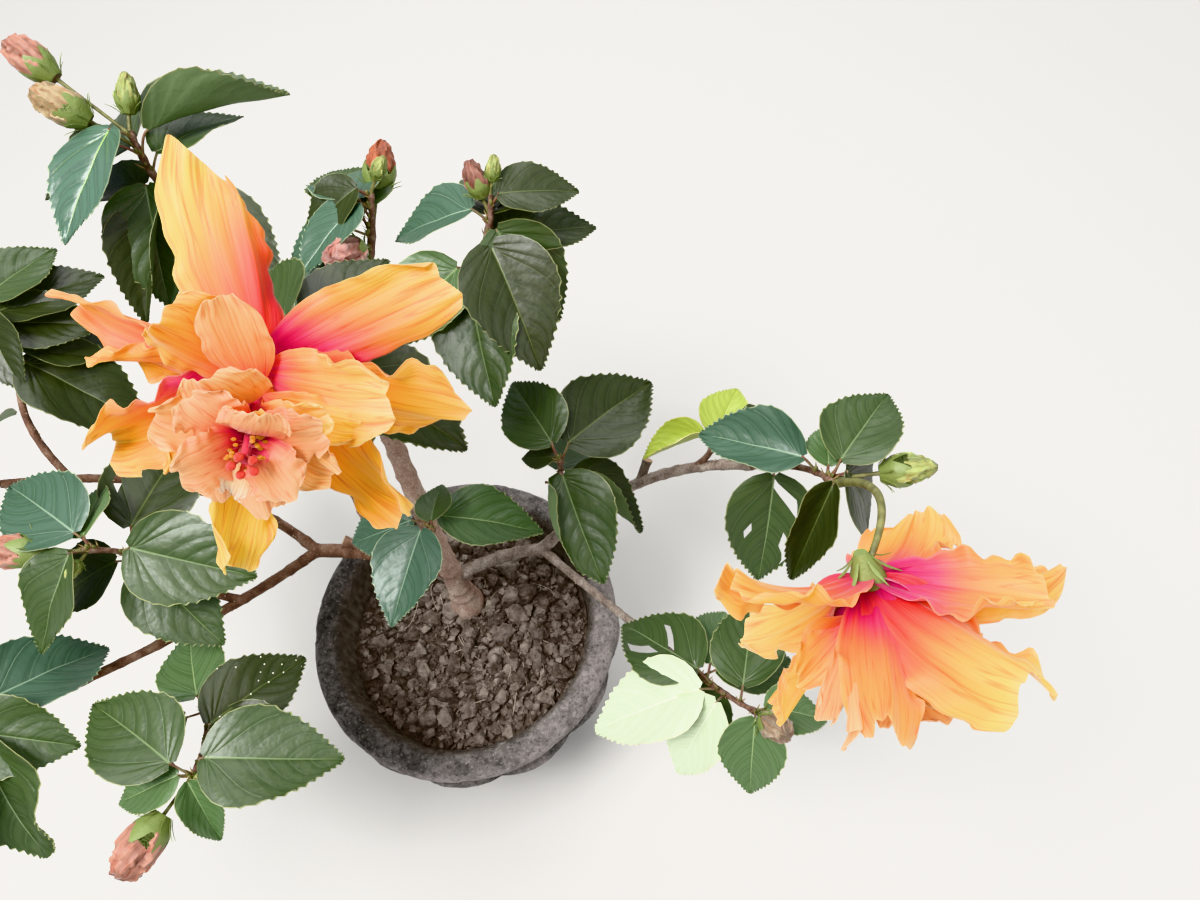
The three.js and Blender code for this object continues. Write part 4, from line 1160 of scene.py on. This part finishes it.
soilFinishes = [
    soilFinish("damp soil", [[0.3, "#463b33"], [0.5, "#65584f"], [0.7, "#7f7269"]]),
    soilFinish("dry soil", [[0.3, "#5f534a"], [0.5, "#7d7067"], [0.7, "#968981"]]),
    soilFinish("pale clod", [[0.3, "#6e6258"], [0.5, "#8c7f75"], [0.7, "#a3978c"]]),
    newFinish("dry root", "#b3a394", 0.8),
]
joinedPiece("earth", heap, soilFinishes, ("soil",), 28)
print("soil made")

# buds: spent blooms rolled shut, with their sepals and bracts

budForm = {
    "rows": [0, 0.1, 0.25, 0.42, 0.6, 0.78, 0.9, 0.97, 1],
    "pointed": np.array([0.12, 0.2, 0.28, 0.29, 0.25, 0.18, 0.11, 0.06, 0.03]),
    "blunt": np.array([0.12, 0.2, 0.285, 0.31, 0.31, 0.285, 0.235, 0.15, 0.06]),
    "sides": 40, "rings": 30, "sepalReach": (0.2, 0.56), "bracts": 8, "bract": (0.36, 1.5),
    "furl": 0.16,
}
budColours = {  # petal ridge and furrow, the furrow's darker colour being painted shade, and how blunt the tip is
    "peach": ("#bd8b77", "#7d5040", 0.9), "rust": ("#a8603f", "#6c3520", 0),
    "brown": ("#96695a", "#5e3a2c", 0.3), "pink": ("#c49a90", "#8c5850", 1),
    "cream": ("#b5a07a", "#806845", 0.8), "faded": ("#a3917a", "#6b5845", 0.9),
    "green": ("#a3ab68", "#717f42", 0.2),
}
sepals = 5  # in every calyx
budHeap, cupHeap = [], []


def lobed(turn, count):  # 1 at the point of each lobe, 0 between two
    beat = (count * turn / (2 * np.pi)) % 1
    return (1 - 2 * np.minimum(beat, 1 - beat)) ** 0.8


def addCup(heap, neck, way, long, radiusAt, reach, phase):  # the sepals, fused below and lobed above
    shape = rod(budForm["sides"], 12)
    x, y, z = shape["points"].T
    turn = np.arctan2(y, x) + phase
    share = (z + 0.5) * lerp(*reach, lobed(turn, sepals))
    points = rodPoints({**shape, "points": np.column_stack([x, y, share - 0.5])},
                       straight(neck, neck + way * long),
                       lambda s: radiusAt(s) * 1.05 + 0.5 - 0.4 * ease(0, 0.1, s))
    put(heap, shape, points, 0)


def addBracts(heap, neck, way, long, radius, chance, count, size):
    side = unit(np.cross(way, offAxis))
    other = np.cross(way, side)
    for i in range(count):
        turn = 2 * math.pi * i / count + chance.uniform(-0.15, 0.15)
        out = side * math.cos(turn) + other * math.sin(turn)
        lean = unit(way + out * chance.uniform(0.5, 1.1))
        put(heap, slim, sliverPoints(slim, neck + out * radius, lean, -out,
                                     size[0] * long * chance.uniform(0.8, 1.2), size[1], -0.25), 0)


for name, row in masses.items():
    chance = chanceFor("buds", name)
    for share, heading, rise, stalk, long, colours in row["buds"]:
        way = pointing(heading, rise)
        neck = onCurve(curves[name], share) + way * stalk
        *pair, blunt = budColours[colours]
        ridge, furrowShade = map(tintOf, pair)
        outline = lerp(budForm["pointed"], budForm["blunt"], blunt)
        phase = chance.uniform(0, 6.28)

        def budRadius(s):
            return long * np.interp(s, budForm["rows"], outline)

        def furls(turn, s):  # petals rolled round each other
            lap = ((3 * turn + 4.5 * s + phase) / (2 * np.pi)) % 1  # each lap climbs, then drops
            roll = 1.3 * lap ** 1.5 - 0.6 + 0.35 * np.sin(11 * turn - 5 * s + phase)
            return budRadius(s) * budForm["furl"] * roll * ease(0.1, 0.4, s)

        shape = rod(budForm["sides"], budForm["rings"])
        x, y, z = shape["points"].T
        points = rodPoints(shape, straight(neck, neck + way * long), budRadius, furls)
        crumple = np.column_stack([noiseAt(points, 3.2, i) for i in (0, 11, 23)])
        points = points + crumple * 0.07 * long * ease(0.35, 1, z + 0.5)[:, None]
        depth = furls(np.arctan2(y, x), z + 0.5) / np.maximum(budRadius(z + 0.5), 0.1) / budForm["furl"]
        # the furrows between the rolled petals take the darker colour as painted shade, the ridges the paler
        # one, and noise varies the share at random
        mix = np.clip(0.55 + 0.5 * depth + 0.35 * noiseAt(points, 3.0), 0, 1)[:, None]
        tip = ease(0.9, 1, z + 0.5)[:, None] * 0.3
        uv = np.column_stack([np.arctan2(y, x) / 6.28, z + 0.5])
        put(budHeap, shape, points, 0, uv, (furrowShade * (1 - mix) + ridge * mix) * (1 - tip))
        addCup(cupHeap, neck, way, long, budRadius, budForm["sepalReach"], phase)
        addBracts(cupHeap, neck, way, long, 0.16 * long, chance, budForm["bracts"], budForm["bract"])
joinedPiece("buds", budHeap, [petalFinish])
joinedPiece("bud_cups", cupHeap, [sepalFinish])
print("buds made")

# blooms

palettes = {  # colours from the throat to the tip
    "gold": ["#b80d57", "#da2068", "#ee4f4c", "#f58030", "#fba330", "#fdb642", "#fec55a"],
    "rose": ["#b40c56", "#d6186a", "#ea3f74", "#f36c60", "#f99342", "#feb440", "#fecb58"],
    "coral": ["#be1256", "#d82a5a", "#ea5048", "#f06c3a", "#f58842", "#faa04a", "#fdb354"],
    "flame": ["#c41c38", "#dc3326", "#ec5124", "#f3732b", "#fb9a35", "#fec04a", "#ffda66"],
    "orange": ["#b80e52", "#d62860", "#e95440", "#ee7a2c", "#f2902f", "#f5a138", "#f8b14a"],
    "amber": ["#cc1e50", "#e8482e", "#f26e1e", "#f78a1e", "#fb9f28", "#feb238", "#fec24a"],
    "yellow": ["#e4563a", "#f47c2a", "#faa02c", "#feb436", "#fec23e", "#fecd4c", "#fed55c"],
    "butter": ["#cc1c64", "#ea4a5c", "#f68a42", "#fcaa40", "#febf4e", "#fecc60", "#ffd97c"],
    "peach": ["#e04a52", "#f27a4c", "#f99a52", "#fbaa5c", "#fcb469", "#fdbf78", "#fecb8c"],
    "salmon": ["#c0144c", "#e03454", "#f0605a", "#f68a60", "#f9a26a", "#fbb278", "#fcc490"],
    "cream": ["#e8605c", "#f4906a", "#f9b078", "#fcc088", "#fdcd98", "#feddb2", "#ffe7c8"],
}
paletteStops = [0, 0.13, 0.27, 0.4, 0.56, 0.76, 1]
bloomForm = {
    "grid": (36, 34), "frill": 0.02, "crinkle": 0.3, "ribs": 15, "tipRound": 0.09, "tipWide": 0.45,
    "waves": 2.1, "throat": {"bloom_left": 0.03, "bloom_right": 0.1},
    "sides": 30, "calyxReach": {"bloom_left": (1, 7), "bloom_right": (11, 24)},
    "calyxRadii": {"bloom_left": ([0, 0.35, 0.7, 1], [3, 7.5, 12, 16]),
                   "bloom_right": ([0, 0.35, 0.7, 1], [3, 7.8, 9.6, 11.4])},
    "calyxLong": 34, "calyxBack": 9, "bractLong": 15, "columnRadii": (2.6, 1.7), "columnLong": 72,
    "anthers": 38, "antherSize": 0.95, "pads": 5, "padReach": 4.4, "padSize": 1.9,
}


def petalShape(shape, petal):
    columns, rows = bloomForm["grid"]
    across = np.linspace(-1, 1, columns + 1)[None, :]
    share = np.linspace(0, 1, rows + 1)[:, None]
    look, size, phase = petal["look"], petal["length"], petal["phase"]
    rim = np.abs(across)
    # how the cross-section turns from the midline to each edge: cup, creases, ruffles, then fine ribs
    turn = -2 * petalForm["cup"] * across * look.get("cup", 1)
    for place, degrees in look.get("folds", ()):
        past = ease(abs(place) - 0.08, abs(place) + 0.08, np.sign(place) * across)
        turn = turn + np.sign(place) * math.radians(degrees) * past * ease(0.06, 0.35, share)
    beat = 2 * np.pi * bloomForm["waves"] * share
    ruffle = np.sin(beat + phase + 1.7 * np.sign(across)) + 0.6 * np.sin(2.6 * beat + 2 * phase - across)
    turn = turn + np.sign(across) * petal["ruffle"] * ruffle * ease(0.25, 1, rim) * ease(0.12, 0.6, share)
    crinkle = bloomForm["crinkle"] * min(1, size / 80)
    fan = across * (1 - 0.2 * share)
    turn = turn + crinkle * np.sin(bloomForm["ribs"] * fan + phase) * ease(0.02, 0.3, share)
    runs = unrolled(turn, 2 / columns)
    half = petalHalf(petal, share) * (1 + bloomForm["tipWide"] * ease(0.6, 1, share))
    lobes = np.sin(4.3 * across + phase) + 0.4 * np.sin(9 * across + 2 * phase)
    reach = share * (0.98 - bloomForm["tipRound"] * rim ** 4
                     + 0.6 * look.get("tip", 0.04) * lobes * share ** 5
                     + look.get("slant", 0) * across * share ** 3)
    place, face = petalArc(petal, reach)
    frill = bloomForm["frill"] * size * np.sin(13 * across + 3 * phase) * ease(0.75, 1, share)
    twist = math.radians(look.get("twist", 0)) * ease(0.2, 1, share)[..., None]
    side = np.cos(twist) * petal["side"] + np.sin(twist) * face
    lift = np.cos(twist) * face - np.sin(twist) * petal["side"]
    rise = half * runs[1] + petalWave(petal, across, share) + frill
    surface = place + (half * runs[0])[..., None] * side + rise[..., None] * lift
    column, row, layer = shape["points"].astype(int).T
    across, share = across[0, column], share[row, 0]
    thin = petalForm["thickness"] / 2 * (1 - 0.5 * across ** 2)
    points = twoFaced(surface, column, row, thin * layer)

    streak = noiseAt(np.column_stack([across * 6, share * 0.8, np.full(len(share), phase * 7)]))
    cloud = noiseAt(np.column_stack([across * 1.3, share * 2.2, np.full(len(share), phase * 3)]))
    unfurled = ease(0.05, 0.4, share)
    place = share + (look.get("edge", 0.06) * across ** 2 + look.get("side", 0) * across) * unfurled
    throat = bloomForm["throat"][petal["bloom"]] * look.get("throat", 1) * (1 - ease(0.2, 0.7, share))
    place = np.clip(place + (0.13 - 0.07 * share) * streak + 0.1 * cloud * unfurled - throat, 0, 1)
    colours = np.array([tintOf(colour) for colour in palettes[petal["palette"]]])
    tint = np.column_stack([np.interp(place, paletteStops, colours[:, i]) for i in range(3)])
    paler = (0.35 * ease(0.9, 1, np.abs(across)) + 0.4 * ease(0.95, 1, share))[:, None] * unfurled[:, None]
    tint = tint + (tintOf("#ffe9ba") - tint) * paler * 0.6
    return points, np.column_stack([across / 2 + phase, share]), np.clip(tint, 0, 1)


def addTinted(heap, shape, points, tint):
    put(heap, shape, points, 0, shape["points"][:, :2], np.broadcast_to(tint, points.shape))


stigmaTint, antherTint, columnTint, threadTint = map(tintOf, ("#e8402a", "#f5a21c", "#c01560", "#e2405a"))
for name in petals:
    chance = chanceFor("blooms", name)
    side = name.replace("bloom_", "")
    heap, heart, cup = [], [], []
    shape = sheet(*bloomForm["grid"])
    for petal in petals[name]:
        points, uv, tint = petalShape(shape, petal)
        put(heap, shape, points, 0, uv, tint)
    joinedPiece(f"petals_{side}", heap, [petalFinish], (name,), 80, sheets=True)

    foot = onCurve(curves[name], 1)
    axis, out, across = (petals[name][0][key] for key in ("axis", "out", "side"))
    far = foot + axis * bloomForm["columnLong"]
    shape = rod(12, 30)
    share = shape["points"][:, 2] + 0.5
    points = rodPoints(shape, straight(foot, far), lambda s: lerp(*bloomForm["columnRadii"], s))
    put(heart, shape, points, 0, np.column_stack([shape["points"][:, 0], share]),
        lerp(columnTint, threadTint, share[:, None]))
    for i in range(bloomForm["anthers"]):  # each anther on its short thread
        at = foot + axis * bloomForm["columnLong"] * chance.uniform(0.78, 0.98)
        turn = chance.uniform(0, 2 * math.pi)
        lean = unit(out * math.cos(turn) + across * math.sin(turn) + axis * 0.4)
        end = at + lean * chance.uniform(4, 7)
        shape = rod(5, 2)
        addTinted(heart, shape, rodPoints(shape, straight(at, end), lambda s: 0.3 + 0 * s), threadTint)
        anther = ball(2)["points"] * bloomForm["antherSize"] * (1.2, 0.8, 0.8)
        addTinted(heart, ball(2), anther + end, antherTint)
    for i in range(bloomForm["pads"]):  # the five velvety stigma pads
        turn = 2 * math.pi * i / bloomForm["pads"]
        end = far + axis * 3 + bloomForm["padReach"] * (out * math.cos(turn) + across * math.sin(turn))
        shape = rod(8, 5)
        points = rodPoints(shape, straight(far - axis * 4, end), lambda s: 0.7 + 0.2 * s)
        addTinted(heart, shape, points, stigmaTint)
        pad = ball(3)["points"]
        velvet = 1 + 0.12 * noiseAt(pad, 0.25, i)
        addTinted(heart, ball(3), pad * velvet[:, None] * bloomForm["padSize"] * (1, 1, 0.8) + end,
                  stigmaTint)
    joinedPiece(f"heart_{side}", heart, [petalFinish])

    shape = rod(bloomForm["sides"], 16)
    x, y, z = shape["points"].T
    reach = lerp(*bloomForm["calyxReach"][name], lobed(np.arctan2(y, x), sepals))
    long, back = bloomForm["calyxLong"], bloomForm["calyxBack"]
    neck = foot - axis * back
    points = rodPoints({**shape, "points": np.column_stack([x, y, (z + 0.5) * (reach + back) / long - 0.5])},
                       straight(neck, neck + axis * long),
                       lambda s: np.interp(s, *bloomForm["calyxRadii"][name]),
                       lambda t, s: 0.7 * (lobed(t, sepals) - 0.5) * ease(0.1, 0.4, s))
    put(cup, shape, points)
    addBracts(cup, neck + axis * 3, axis, bloomForm["bractLong"], 4.5, chance, 7, (1, 2.2))
    joinedPiece(f"calyx_{side}", cup, [sepalFinish])
print("blooms made")

# floor, light and camera

floor = bpy.data.objects.new("floor", bpy.data.meshes.new("floor"))
bm = bmesh.new()
bmesh.ops.create_grid(bm, x_segments=1, y_segments=1, size=6)
bm.to_mesh(floor.data)
bm.free()
floor.data.materials.append(newFinish("plain pale floor", "#d8d4cf", 0.9))
floor.location.z = -0.0005  # just under the pot
bpy.context.scene.collection.objects.link(floor)

world = bpy.data.worlds.new("soft room")
world.use_nodes = True
world.node_tree.nodes["Background"].inputs["Color"].default_value = (0.87, 0.94, 1.0, 1)
world.node_tree.nodes["Background"].inputs["Strength"].default_value = 0.48
bpy.context.scene.world = world

lamps = {  # place, size and watts
    "key": ((-0.55, -0.45, 2.4), 0.9, 70),
    "fill": ((1.8, -0.9, 1.6), 1.6, 16),
    "back": ((0.1, 1.5, 2.2), 1.5, 30),
}
for name, (place, size, watts) in lamps.items():
    lamp = bpy.data.lights.new(name, "AREA")
    lamp.size, lamp.energy = size, watts
    lampObject = bpy.data.objects.new(name, lamp)
    lampObject.location = place
    aim = Vector((0, 0, 0.35)) - Vector(place)
    lampObject.rotation_mode = "QUATERNION"
    lampObject.rotation_quaternion = aim.to_track_quat("-Z", "Y")
    bpy.context.scene.collection.objects.link(lampObject)

bpy.context.scene.view_settings.view_transform = "Khronos PBR Neutral"

# the camera that was fitted to the photograph: its place and its own three directions
camera = bpy.data.objects.new("camera", bpy.data.cameras.new("camera"))
camera.data.lens, camera.data.sensor_width = 27, 36
right = Vector((0.99663, 0, -0.0820))
up = Vector((0.0387, 0.8815, 0.4705))
back = Vector((0.0723, -0.4721, 0.8786))
turned = Matrix((right, up, back)).transposed()
camera.matrix_world = Matrix.Translation((0.184, -0.244, 0.956)) @ turned.to_4x4()
bpy.context.scene.collection.objects.link(camera)
bpy.context.scene.camera = camera
